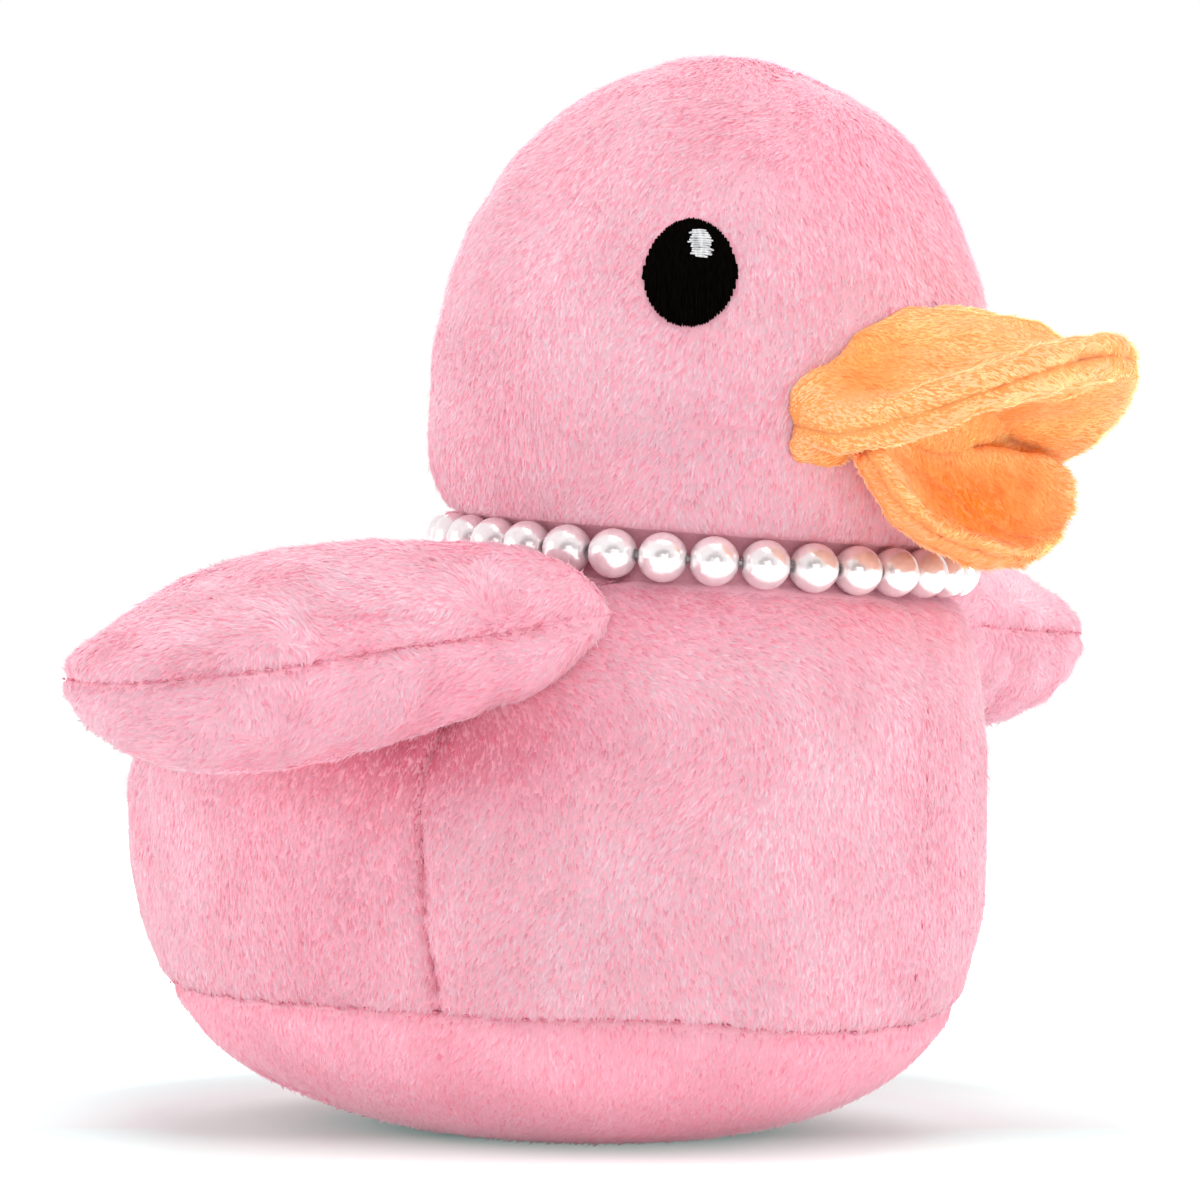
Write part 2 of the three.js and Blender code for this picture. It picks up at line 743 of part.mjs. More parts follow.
// The lower bill clears the face as it hangs, and pressed down or closed about its root.
const billRoot = new THREE.Vector3(
  0,
  -head.ahead - lowerBill.rootAhead,
  cheekHeight - lowerBill.rootBelowCheeks,
);
const swingFace = faceTool(lowerBill.clearance);
const facePlaces = [0, -lowerBill.drop, lowerBill.lift].map((turn) =>
  turnedAbout(swingFace, billRoot, (geometry) => geometry.rotateX(turn)),
);
const clearOfFace = (geometry) => facePlaces.reduce(cutAway, geometry);
const lowerPad = lowerBillPad();
add("lower_bill_top", clearOfFace(padPanel(lowerPad, 1)), orangePile());
add("lower_bill_underside", clearOfFace(padPanel(lowerPad, -1)), orangePile());
add("lower_bill_filling", clearOfFace(padFilling(lowerPad)), fibre());

// Each wing clears the body as it lies, and pressed down or lifted about its root seam.
const flank = bodyTool(wing.rootClearance);
const flankPlaces = [0, -wing.drop, wing.lift / 2, wing.lift].map((turn) =>
  turnedAbout(flank, wingRoot, (geometry) => geometry.rotateY(turn)),
);
const clearOfBody = (geometry) => flankPlaces.reduce(cutAway, geometry);
for (const side of ["left", "right"]) {
  const pad = wingPad(wingLie[side]);
  const place = side === "left" ? (geometry) => geometry : mirrored;
  add(`wing_top_${side}`, place(clearOfBody(padPanel(pad, 1))), pinkPile());
  add(`wing_underside_${side}`, place(clearOfBody(padPanel(pad, -1))), pinkPile());
  add(`wing_filling_${side}`, place(clearOfBody(padFilling(pad))), fibre());
}

const necklace = new THREE.Group();
necklace.position.copy(neckCentre);
necklace.rotation.x = neck.tilt;
duck.add(necklace);
add("necklace_cord", cordShape(), clearElastic(), necklace);
loopTurns(bead.count).forEach((turn, i) => {
  const place = new THREE.Group();
  place.rotation.z = necklaceTurn + turn;
  const one = add(`bead_${String(i + 1).padStart(2, "0")}`, beadShape(), pearl(), place);
  one.position.y = -ringRadius;
  one.rotation.z = Math.PI / 2;
  necklace.add(place);
});

export default duck;
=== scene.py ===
# Looks for a stuffed duck of short pink pile with an orange bill and a string of pearls.
import math

import bmesh
import bpy
import numpy as np
from mathutils import Matrix, Vector


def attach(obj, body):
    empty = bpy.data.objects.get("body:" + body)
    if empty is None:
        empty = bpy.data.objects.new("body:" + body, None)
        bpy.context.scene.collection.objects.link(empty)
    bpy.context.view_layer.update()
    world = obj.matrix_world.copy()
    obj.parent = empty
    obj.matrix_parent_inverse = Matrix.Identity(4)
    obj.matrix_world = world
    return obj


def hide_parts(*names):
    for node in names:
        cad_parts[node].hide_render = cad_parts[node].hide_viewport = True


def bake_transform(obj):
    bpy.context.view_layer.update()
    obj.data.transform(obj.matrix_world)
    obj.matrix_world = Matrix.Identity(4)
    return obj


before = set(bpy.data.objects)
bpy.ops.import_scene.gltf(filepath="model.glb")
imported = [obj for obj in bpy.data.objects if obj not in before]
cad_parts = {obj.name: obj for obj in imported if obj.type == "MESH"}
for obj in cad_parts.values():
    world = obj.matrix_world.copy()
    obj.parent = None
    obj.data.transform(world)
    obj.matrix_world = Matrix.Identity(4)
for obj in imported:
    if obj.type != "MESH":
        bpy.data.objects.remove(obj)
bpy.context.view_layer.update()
mm = 0.001

# Camera: level with the duck's neck, ahead of its right side

cameraView = {
    "azimuth": -50,
    "elevation": -1.087,
    "distance": 0.622,
    "target": (0, -0.0103, 0.0918),
    "lens": 107.5,
}


def wayTo(view):
    turn, climb = math.radians(view["azimuth"]), math.radians(view["elevation"])
    return Vector((math.sin(turn) * math.cos(climb), -math.cos(turn) * math.cos(climb), math.sin(climb)))


def newObject(name, data):
    made = bpy.data.objects.new(name, data)
    bpy.context.scene.collection.objects.link(made)
    return made


def aimedObject(name, data, view, target):
    back = wayTo(view)
    made = newObject(name, data)
    made.location = Vector(target) + back * view["distance"]
    made.rotation_euler = back.to_track_quat("Z", "Y").to_euler()
    return made


def makeCamera(view):
    data = bpy.data.cameras.new("photoCamera")
    data.lens = view["lens"]
    data.sensor_width = 36
    data.clip_start = 0.01
    bpy.context.scene.camera = aimedObject("photoCamera", data, view, view["target"])


makeCamera(cameraView)
print("stage: camera")

# Studio: a white floor that keeps the shadow, soft lamps and a white surround

studio = {
    "worldLight": 0.74,
    "floorReach": 1.6,
    "floorAlbedo": 0.95,
    "floorSeen": (0.80, 0.93, 0.915),  # takes the pink out of the shadow that the camera sees
    "openRound": [  # metres from the middle, and how far the shadow is opened up there
        (0.050, (0.05, 0.15, 0.125)), (0.062, (0.04, 0.11, 0.09)), (0.074, (0.02, 0.02, 0.02)),
        (0.098, (0.04, 0.04, 0.04)), (0.165, (1, 1, 1)),
    ],
    "openAhead": [  # the same, by metres toward the camera
        (0.0, (0, 0, 0)), (0.014, (0.07, 0.16, 0.135)), (0.042, (0.38, 0.48, 0.455)),
        (0.062, (0.8, 0.8, 0.8)),
    ],
    "darkPatch": (0.70, 0.88),  # cosines between which a mirror sees the dark end of the room
    "patchShade": 0.05,
    "lampAim": (0, -0.01, 0.08),
}
lamps = [
    {"name": "topLamp", "azimuth": -20, "elevation": 74, "distance": 1.0, "size": 0.6, "power": 4.0},
    {"name": "leftLamp", "azimuth": -135, "elevation": 4, "distance": 1.1, "size": 0.7, "power": 5.2},
    {"name": "rightLamp", "azimuth": 28, "elevation": 4, "distance": 1.1, "size": 0.7, "power": 4.6},
    {"name": "lowLamp", "azimuth": -40, "elevation": 2, "distance": 1.2, "size": 0.5, "power": 1.9},
    {"name": "rearLamp", "azimuth": 130, "elevation": 45, "distance": 1.0, "size": 0.6, "power": 3.8},
    {"name": "glintLamp", "azimuth": -57, "elevation": 11, "distance": 0.9, "size": 0.05, "power": 0.05},
]


white = (1, 1, 1)


def nodeTree(owner):
    owner.use_nodes = True
    owner.node_tree.nodes.clear()
    return owner.node_tree


def feed(tree, node, inputs):
    for key, value in inputs.items():
        socket = node.inputs[key]
        if isinstance(value, bpy.types.NodeSocket):
            tree.links.new(value, socket)
        elif socket.type == "RGBA":
            socket.default_value = (*value, 1)
        else:
            socket.default_value = value


def newNode(tree, kind, inputs=None, **settings):
    node = tree.nodes.new("ShaderNode" + kind)
    for key, value in settings.items():
        setattr(node, key, value)
    feed(tree, node, inputs or {})
    return node


def mathNode(tree, operation, *values):
    return newNode(tree, "Math", dict(enumerate(values)), operation=operation).outputs[0]


def vectorMath(tree, operation, *values):
    return newNode(tree, "VectorMath", dict(enumerate(values)), operation=operation).outputs["Value"]


def rampNode(tree, factor, stops):
    node = newNode(tree, "ValToRGB", {"Fac": factor})
    while len(node.color_ramp.elements) < len(stops):
        node.color_ramp.elements.new(0.5)
    for element, (place, color) in zip(node.color_ramp.elements, stops):
        element.position = place
        element.color = (*color, 1)
    return node.outputs["Color"]


def mixNode(tree, factor, first, second, blend="MIX"):
    inputs = {0: factor, 6: first, 7: second}
    return newNode(tree, "Mix", inputs, data_type="RGBA", blend_type=blend).outputs[2]


def mixShaders(tree, factor, first, second):
    return newNode(tree, "MixShader", {0: factor, 1: first.outputs[0], 2: second.outputs[0]})


def seenDirectly(tree):
    path = newNode(tree, "LightPath").outputs
    seen = mathNode(tree, "MAXIMUM", path["Is Camera Ray"], path["Is Glossy Ray"])
    return mathNode(tree, "MAXIMUM", seen, path["Is Transmission Ray"]), path["Is Glossy Ray"]


def makeWorld(settings):
    world = bpy.data.worlds.new("studioWorld")
    bpy.context.scene.world = world
    tree = nodeTree(world)
    seen, mirrored = seenDirectly(tree)
    direction = newNode(tree, "TexCoord").outputs["Generated"]
    edge, middle = settings["darkPatch"]
    patch = rampNode(tree, vectorMath(tree, "DOT_PRODUCT", direction, wayTo(cameraView)),
                     [(edge, white), (middle, (settings["patchShade"],) * 3)])
    plain = newNode(tree, "Background", {"Strength": settings["worldLight"]})
    shown = newNode(tree, "Background", {"Color": mixNode(tree, mirrored, white, patch)})
    newNode(tree, "OutputWorld", {"Surface": mixShaders(tree, seen, plain, shown).outputs[0]})


def makeLamp(lamp):
    data = bpy.data.lights.new(lamp["name"], "AREA")
    data.shape = "SQUARE"
    data.size = lamp["size"]
    data.energy = lamp["power"]
    aimedObject(lamp["name"], data, lamp, studio["lampAim"]).visible_camera = False


def pieceFrom(bm, name, material):
    mesh = bpy.data.meshes.new(name)
    bm.to_mesh(mesh)
    bm.free()
    mesh.materials.append(material)
    mesh.shade_smooth()
    return newObject(name, mesh)


def makeFloor(settings):
    material = bpy.data.materials.new("whiteFloor")
    tree = nodeTree(material)
    seen, _ = seenDirectly(tree)
    place = newNode(tree, "TexCoord").outputs["Object"]
    ahead = vectorMath(tree, "DOT_PRODUCT", place, wayTo({**cameraView, "elevation": 0}))
    glow = mixNode(tree, 1.0, rampNode(tree, vectorMath(tree, "LENGTH", place), settings["openRound"]),
                   rampNode(tree, ahead, settings["openAhead"]), "LIGHTEN")
    albedo = mixNode(tree, seen, (settings["floorAlbedo"],) * 3, settings["floorSeen"])
    cloth = newNode(tree, "BsdfDiffuse", {"Color": albedo})
    emission = newNode(tree, "Emission", {"Color": mixNode(tree, seen, (0, 0, 0), glow)})
    both = newNode(tree, "AddShader", {0: cloth.outputs[0], 1: emission.outputs[0]})
    newNode(tree, "OutputMaterial", {"Surface": both.outputs[0]})
    bm = bmesh.new()
    bmesh.ops.create_circle(bm, cap_ends=True, segments=96, radius=settings["floorReach"])
    pieceFrom(bm, "floor", material)


makeWorld(studio)
for lamp in lamps:
    makeLamp(lamp)
makeFloor(studio)
bpy.context.scene.view_settings.view_transform = "Standard"
print("stage: studio")

# Materials


def principled(name):
    material = bpy.data.materials.new(name)
    tree = nodeTree(material)
    shader = newNode(tree, "BsdfPrincipled")
    newNode(tree, "OutputMaterial", {"Surface": shader.outputs[0]})
    return material, tree, shader


def objectNoise(tree, scale, detail=2.0, roughness=0.5, stretch=white):
    place = newNode(tree, "TexCoord").outputs["Object"]
    mapping = newNode(tree, "Mapping", {"Vector": place, "Scale": stretch})
    inputs = {"Vector": mapping.outputs[0], "Scale": scale, "Detail": detail, "Roughness": roughness}
    return newNode(tree, "TexNoise", inputs).outputs["Fac"]


def addBump(tree, shader, height, strength, distance):
    bump = newNode(tree, "Bump", {"Strength": strength, "Distance": distance, "Height": height})
    feed(tree, shader, {"Normal": bump.outputs[0]})


def pileMaterial(name, sheenTint):
    material, tree, shader = principled(name)
    attribute = newNode(tree, "Attribute", attribute_name="pileColor")
    cloudy = rampNode(tree, objectNoise(tree, 55, 3), [(0.3, (0.95, 0.92, 0.93)), (0.7, white)])
    color = mixNode(tree, 1.0, attribute.outputs["Color"], cloudy, "MULTIPLY")
    feed(tree, shader, {"Base Color": color, "Roughness": 0.7, "Specular IOR Level": 0.15,
                        "Sheen Weight": 0.6, "Sheen Roughness": 0.35, "Sheen Tint": sheenTint})
    face = newNode(tree, "NewGeometry")
    under = newNode(tree, "BsdfTranslucent", {"Color": color})  # the underside of a blade lets light through
    sides = mixShaders(tree, face.outputs["Backfacing"], shader, under)
    feed(tree, tree.nodes["Material Output"], {"Surface": sides.outputs[0]})
    return material


def backingMaterial(name, deep, pale):
    material, tree, shader = principled(name)
    blotches = objectNoise(tree, 90, 4)
    fine = objectNoise(tree, 1400, 3, 0.6)
    both = mathNode(tree, "MULTIPLY_ADD", fine, 0.5, mathNode(tree, "MULTIPLY", blotches, 0.5))
    color = rampNode(tree, both, [(0.32, deep), (0.68, pale)])
    feed(tree, shader, {"Base Color": color, "Roughness": 0.9, "Specular IOR Level": 0.2,
                        "Sheen Weight": 0.2})
    addBump(tree, shader, fine, 0.5, 0.0003)
    return material


def noiseMaterial(name, noise, stops, roughness, bump, inputs):
    material, tree, shader = principled(name)
    height = objectNoise(tree, *noise)
    rough = rampNode(tree, height, roughness) if isinstance(roughness, list) else roughness
    feed(tree, shader, {"Base Color": rampNode(tree, height, stops), "Roughness": rough, **inputs})
    addBump(tree, shader, height, *bump)
    return material


def threadMaterial(name, deep, pale, roughness, gloss=0.2, across=2600):
    return noiseMaterial(name, (across, 2, 0.5, (1, 1, 0.2)), [(0.35, deep), (0.65, pale)], roughness,
                         (0.4, 0.0001), {"Specular IOR Level": gloss})


pinkPile = pileMaterial("pinkPile", (1, 0.86, 0.9))
orangePile = pileMaterial("orangePile", (1, 0.85, 0.66))
pinkBacking = backingMaterial("pinkBacking", (0.88, 0.40, 0.50), (0.94, 0.50, 0.58))
orangeBacking = backingMaterial("orangeBacking", (0.95, 0.34, 0.09), (0.99, 0.46, 0.16))
seamThread = threadMaterial("seamThread", (0.70, 0.20, 0.30), (0.84, 0.34, 0.43), 0.7)
blackThread = threadMaterial("blackThread", (0.001, 0.0008, 0.0007), (0.003, 0.0025, 0.002), 1.0, 0.01)
whiteThread = threadMaterial("whiteThread", (0.55, 0.56, 0.57), (0.90, 0.90, 0.91), 0.35, 0.4, 1500)
pearlLustre = noiseMaterial(
    "pearlLustre", (420, 4, 0.6), [(0.35, (0.88, 0.80, 0.82)), (0.65, (0.95, 0.91, 0.91))],
    [(0.3, (0.13,) * 3), (0.7, (0.22,) * 3)], (0.35, 0.0004),
    {"Metallic": 0.44, "Coat Weight": 0.5, "Coat Roughness": 0.06},
)
clearElastic = noiseMaterial(
    "clearElastic", (900, 2), [(0.3, (0.86, 0.84, 0.84)), (0.7, (0.94, 0.93, 0.92))], 0.3, (0.2, 0.0001),
    {"Transmission Weight": 0.5},
)
polyesterFibre = noiseMaterial(
    "polyesterFibre", (420, 6, 0.7), [(0.3, (0.72, 0.71, 0.69)), (0.7, (0.92, 0.91, 0.9))], 0.95,
    (0.9, 0.001), {},
)
print("stage: materials")

# Grids of points in millimetres, and the panels made of them


def wholeTurn(count):
    return np.linspace(0, 2 * np.pi, count)


def pointsOf(x, y, z):
    return np.stack(np.broadcast_arrays(x, y, z), axis=-1)


def softNoise(points, size, seed, waves=8):
    draw = np.random.default_rng(seed)
    total = np.zeros(points.shape[:-1])
    for _ in range(waves):
        way = draw.normal(size=3)
        pace = 2 * np.pi / size * draw.uniform(0.6, 1.5)
        total += np.sin(points @ (way / np.linalg.norm(way)) * pace + draw.uniform(0, 2 * np.pi))
    return total / math.sqrt(waves)


def softness(points, layers):
    return sum(depth * softNoise(points, size, seed) for depth, size, seed in layers)


def gauss(value, middle, spread):
    return np.exp(-(((value - middle) / spread) ** 2))


def unit(vectors):
    return vectors / np.maximum(np.linalg.norm(vectors, axis=-1, keepdims=True), 1e-12)


def surfaceNormals(points, closed, inside):
    if closed:
        ringed = np.concatenate([points[:, -2:-1], points, points[:, 1:2]], axis=1)
        along = ringed[:, 2:] - ringed[:, :-2]
    else:
        along = np.gradient(points, axis=1)
    rise = np.gradient(points, axis=0)
    normals = unit(np.cross(along, rise))
    weak = np.linalg.norm(along, axis=-1).max(axis=1) < 1e-3
    for row in np.nonzero(weak)[0]:
        near = row + 1 if row == 0 else row - 1
        normals[row] = unit(normals[near].mean(axis=0))
    facing = ((points - inside) * normals).sum(axis=-1).mean()
    return normals if facing > 0 else -normals


def edgeDistances(points):
    edges = {}
    for axis, first, last in ((1, "left", "right"), (0, "low", "high")):
        steps = np.linalg.norm(np.diff(points, axis=axis, prepend=points.take([0], axis)), axis=-1)
        edges[first] = steps.cumsum(axis=axis)
        edges[last] = edges[first].take([-1], axis) - edges[first]
    return edges


clothThickness = 1.0
clothSeam = {"depth": 0.75, "width": 1.5, "pucker": 0.5, "puckerSize": 5}
seamForm = {
    "steep": 1.3,
    "swelling": (0.35, 2.2),  # beside a seam: share of its depth, and place in widths of it
    "soft": (0.4, 1.6),  # depth and width of a seam that the pile nearly hides
    "noSeam": 99.0,
}


def shapePanel(points, inside, relief, closed=False, seams=(), softSeams=(), seam=clothSeam, settle=None):
    normals = surfaceNormals(points, closed, inside)
    edges = edgeDistances(points)
    away = np.full(points.shape[:2], seamForm["noSeam"])
    for side in seams:
        away = np.minimum(away, edges[side])
    pucker = 1 + seam["pucker"] * softNoise(points, seam["puckerSize"], 11)
    if "fade" in seam:
        start, over = seam["fade"]
        pucker = pucker * np.clip((np.abs(points[..., 0]) - start) / over, 0, 1)
    swell, place = seamForm["swelling"]
    shift = -seam["depth"] * np.exp(-((away / seam["width"]) ** seamForm["steep"])) * pucker
    shift += swell * seam["depth"] * gauss(away, place * seam["width"], seam["width"])
    softDepth, softWidth = seamForm["soft"]
    for side in softSeams:
        shift -= softDepth * gauss(edges[side], 0, softWidth)
    shift = shift + relief(points)
    moved = points + normals * shift[..., None]
    if settle is not None:
        moved = settle(moved)
    if closed:
        moved[:, -1] = moved[:, 0]
    return {
        "points": moved,
        "normals": surfaceNormals(moved, closed, inside),
        "away": away,
        "inside": inside,
    }


def gridInto(bm, points):
    rows, columns = points.shape[:2]
    made = bmesh.ops.create_grid(bm, x_segments=columns - 1, y_segments=rows - 1, size=0.5)["verts"]
    for vert in made:
        column = round((vert.co.x + 0.5) * (columns - 1))
        row = round((vert.co.y + 0.5) * (rows - 1))
        vert.co = points[row, column] * mm
    return made


def weld(bm, distance=1e-6):
    bmesh.ops.remove_doubles(bm, verts=bm.verts, dist=distance)
    bmesh.ops.recalc_face_normals(bm, faces=bm.faces)


def panelPiece(name, panel, material, hidden=None):
    bm = bmesh.new()
    made = gridInto(bm, panel["points"])
    if hidden is not None:
        covered = [vert for vert, inner in zip(made, hidden.ravel()) if inner]
        bmesh.ops.delete(bm, geom=covered, context="VERTS")
    weld(bm)
    middle = Vector(panel["inside"]) * mm
    lean = sum(face.normal.dot(face.calc_center_median() - middle) * face.calc_area() for face in bm.faces)
    if lean < 0:
        bmesh.ops.reverse_faces(bm, faces=bm.faces)
    piece = pieceFrom(bm, name, material)
    wall = piece.modifiers.new("cloth", "SOLIDIFY")
    wall.thickness = clothThickness * mm
    wall.offset = -1
    return piece


# Pile: short blades that lie over along a combed direction


def samplePanel(panel, density, draw):
    points, normals = panel["points"], panel["normals"]
    a, b = points[:-1, :-1], points[:-1, 1:]
    c, d = points[1:, 1:], points[1:, :-1]
    area = np.linalg.norm(np.cross(c - a, d - b), axis=-1) / 2
    count = int(area.sum() * density)
    bounds = area.ravel().cumsum()
    cell = np.searchsorted(bounds, draw.random(count) * bounds[-1])
    row, column = np.divmod(np.minimum(cell, area.size - 1), area.shape[1])
    u, v = draw.random((count, 1)), draw.random((count, 1))

    def blend(grid):
        low = grid[row, column] * (1 - u) + grid[row, column + 1] * u
        high = grid[row + 1, column] * (1 - u) + grid[row + 1, column + 1] * u
        return low * (1 - v) + high * v

    away = blend(panel["away"][..., None])[:, 0]
    return blend(points), unit(blend(normals)), away


blades = {  # how the blades of every pile vary
    "lift": (0.5, 0.35, 0.2),  # middle, what brushing adds, and scatter
    "lengths": (0.75, 1.2),
    "widths": (0.7, 1.2),
    "strays": (0.3, 1),
    "growth": 2.5,  # mm; half as long at a seam, full length half this far from it
    "frayReach": 3,
    "rootDepth": 0.1,
    "waist": 0.9,
    "floorGap": 0.05,
    "paint": (0, 0, 0.6, 0.6, 1.0),  # from the root's color to the tip's, corner by corner; the deeper root color is painted shade among the blades
    "seamReach": 1.0,
    "rim": (3.6, 2.8),  # how far in from its seam a bill's rim is rolled, and its spread; its blades get a painted highlight
}


def layBlades(roots, normals, away, brushed, look, comb, draw):
    count = len(roots)
    aim = comb(roots)
    lie = unit(aim - (aim * normals).sum(axis=1, keepdims=True) * normals)
    turn = draw.normal(0, look["tangle"], (count, 1))
    lie = lie * np.cos(turn) + np.cross(lie, normals) * np.sin(turn)
    stays = away > look["seamClear"] * draw.random(count)
    usual, brushing, scatter = blades["lift"]
    lift = np.clip(usual + brushing * brushed + draw.normal(0, scatter, count), 0, 1)[:, None]
    length = (look["length"] * draw.uniform(*blades["lengths"], count))[:, None]
    length = length * np.clip(0.5 + away[:, None] / blades["growth"], 0.5, 1)
    strayShare = look["strayShare"] + look["seamFray"] * gauss(away, 0, blades["frayReach"])[:, None]
    stray = (draw.random((count, 1)) < strayShare) * draw.uniform(*blades["strays"], (count, 1))
    turned = look["liftTurn"] * lift + look["strayTurn"] * stray
    leans = [np.radians(look[end] - turned) for end in ("rootLean", "tipLean")]
    rootWay, tipWay = (normals * np.cos(lean) + lie * np.sin(lean) for lean in leans)
    twist = draw.normal(0, look["twist"], (count, 1))
    across = np.cross(lie, normals) * np.cos(twist) + normals * np.sin(twist)
    half = across * (look["width"] * draw.uniform(*blades["widths"], (count, 1)) / 2)
    start = roots - normals * blades["rootDepth"]
    middle = start + rootWay * length * 0.5
    tip = middle + tipWay * length * 0.5
    waist = half * blades["waist"]
    corners = np.stack([start - half, start + half, middle + waist, middle - waist, tip], axis=1)
    bladeWay = unit(np.cross(across, rootWay + tipWay))
    bladeWay *= np.sign((bladeWay * normals).sum(axis=1, keepdims=True))
    return corners, unit(normals * look["softness"] + bladeWay * (1 - look["softness"])), stays


def paintBlades(away, brushed, look, draw):
    count = len(away)
    shade = 1 + look["shade"] * draw.normal(0, 1, (count, 1, 1)) + look["patchShade"] * brushed[:, None, None]
    paint = np.array(blades["paint"])[:, None]
    color = (np.array(look["shadedRootColor"]) * (1 - paint) + np.array(look["tipColor"]) * paint) * shade
    # blades picked at random: pale ones are painted highlights on the tips, dark rose ones painted shade
    # between the tufts
    for kind in ("dark", "pale"):
        color[draw.random(count) < look[kind + "Share"]] *= np.array(look[kind + "Tint"])
    # painted shade: blades close to a seam are darkened as if down in its groove
    nearSeam = gauss(away, 0, blades["seamReach"])[:, None, None]
    # painted highlight: blades on a bill's rolled rim are paled
    onRim = gauss(away, *blades["rim"])[:, None, None]
    color *= 1 - nearSeam * (1 - np.array(look["seamGrooveShade"]))
    return color * (1 + onRim * (np.array(look["rimHighlight"]) - 1))


def growPile(name, panel, look, comb, seed, tint, keep):
    draw = np.random.default_rng(seed)
    roots, normals, away = samplePanel(panel, look["density"], draw)
    brushed = softNoise(roots, look["patchSize"], seed + 1)
    corners, soft, stays = layBlades(roots, normals, away, brushed, look, comb, draw)
    if keep is not None:
        stays &= keep(roots, corners[:, -1])
    corners = corners[stays]
    corners[..., 2] = np.maximum(corners[..., 2], blades["floorGap"])
    color = paintBlades(away[stays], brushed[stays], look, draw) * tint(roots[stays])[:, None]
    count = len(corners)
    color = np.concatenate([np.clip(color, 0, 1), np.ones((count, 5, 1))], axis=2)
    mesh = bpy.data.meshes.new(name)
    mesh.vertices.add(count * 5)
    mesh.vertices.foreach_set("co", (corners * mm).astype(np.float32).ravel())
    first = np.arange(count)[:, None]
    loops = (first * 5 + np.array([[0, 1, 2, 3, 3, 2, 4]])).ravel()
    mesh.loops.add(len(loops))
    mesh.loops.foreach_set("vertex_index", loops.astype(np.int32))
    mesh.polygons.add(count * 2)
    starts = (first * 7 + np.array([[0, 4]])).ravel()
    mesh.polygons.foreach_set("loop_start", starts.astype(np.int32))
    mesh.update(calc_edges=True)
    mesh.shade_smooth()
    mesh.normals_split_custom_set_from_vertices(np.repeat(soft[stays], 5, axis=0).astype(np.float32))
    layer = mesh.attributes.new("pileColor", "FLOAT_COLOR", "POINT")
    layer.data.foreach_set("color", color.astype(np.float32).ravel())
    mesh.materials.append(look["pile"])
    print(f"  {name}: {count} blades, {count * 3} triangles")
    return newObject(name, mesh)


pinkLook = {
    "slot": "pink_pile",
    "pile": pinkPile,
    "backing": pinkBacking,
    "fill": 0.85,
    "density": 4.8,
    "length": 1.8,
    "width": 0.36,
    "rootLean": 78,
    "tipLean": 90,
    "liftTurn": 8,
    "strayShare": 0.10,
    "strayTurn": 20,
    "seamFray": 0.1,
    "twist": 0.14,
    "tangle": 0.2,
    "seamClear": 0.8,
    # painted shade along the seams
    "seamGrooveShade": (0.90, 0.62, 0.69),
    # painted highlights: a share of the blades, at random, is paler
    "paleShare": 0.18,
    "paleTint": (1.02, 1.16, 1.14),
    "softness": 0.95,
    "patchSize": 26,
    "shade": 0.04,
    "patchShade": 0.02,
    # painted shade: a share of the blades, at random, is darker rose
    "darkShare": 0.2,
    "darkTint": (1.0, 0.74, 0.80),
    "rimHighlight": (1, 1, 1),
    # painted shade: the roots are a deeper pink than the tips, standing in for shade among the blades
    "shadedRootColor": (0.80, 0.45, 0.535),
    "tipColor": (0.85, 0.57, 0.635),
}
orangeLook = {
    **pinkLook,
    "slot": "orange_pile",
    "pile": orangePile,
    "backing": orangeBacking,
    "fill": 0.7,
    "density": 5.2,
    "length": 1.5,
    "width": 0.3,
    "darkShare": 0.14,
    "paleShare": 0.12,
    "tangle": 0.14,
    "patchSize": 14,
    "darkTint": (0.98, 0.84, 0.72),
    # painted shade along the bill's seams
    "seamGrooveShade": (1.0, 0.88, 0.74),
    "seamFray": 0.6,
    # painted highlight on the bill's rolled rim
    "rimHighlight": (1, 1.1, 1.3),
    # painted shade: the roots are a deeper orange than the tips
    "shadedRootColor": (1.0, 0.58, 0.25),
    "tipColor": (1.0, 0.66, 0.33),
}


# Painted light and shade: each patch lightens or darkens the colour where light or shade falls on the duck,
# over a cloud of random tone
def paintedShadeAndCloud(patches, cloudSize, cloudDepth, seed):
    def tint(points):
        mirrored = np.abs(points) * (1, 0, 0) + points * (0, 1, 1)
        color = np.ones((len(points), 3))
        for place, spread, shade in patches:
            near = np.exp(-(((mirrored - place) / spread) ** 2).sum(axis=1))[:, None]
            color *= 1 + near * (np.array(shade) - 1)
        cloud = np.clip(1.6 * softNoise(points, cloudSize, seed), -1, 1)[:, None]
        return color * (1 + cloudDepth * cloud * np.array([[0.25, 1, 0.85]]))

    return tint


def combed(aim, swirl, size, seed):
    def comb(points):
        drift = np.stack([softNoise(points, size, seed + k) for k in range(3)], axis=-1)
        return np.array(aim) + swirl * drift

    return comb


def finishPiece(piece, body, nodes=(), bend=None):
    if bend is None:
        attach(piece, body)
    else:
        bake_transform(piece)
    if nodes:
        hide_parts(*nodes)


def clothe(node, panel, look, comb, seed, tint, keep=None, body="duck", bend=None, hidden=None):
    cover = panelPiece(node + "_cloth", panel, look["backing"], hidden)
    finishPiece(cover, body, (node,), bend)
    pile = growPile(node + "_pile", panel, look, comb, seed, tint, keep)
    finishPiece(pile, body, bend=bend)


stitch = {"length": 1.5, "gap": 1.2, "width": 0.4, "lift": 0.35, "wander": 0.2}


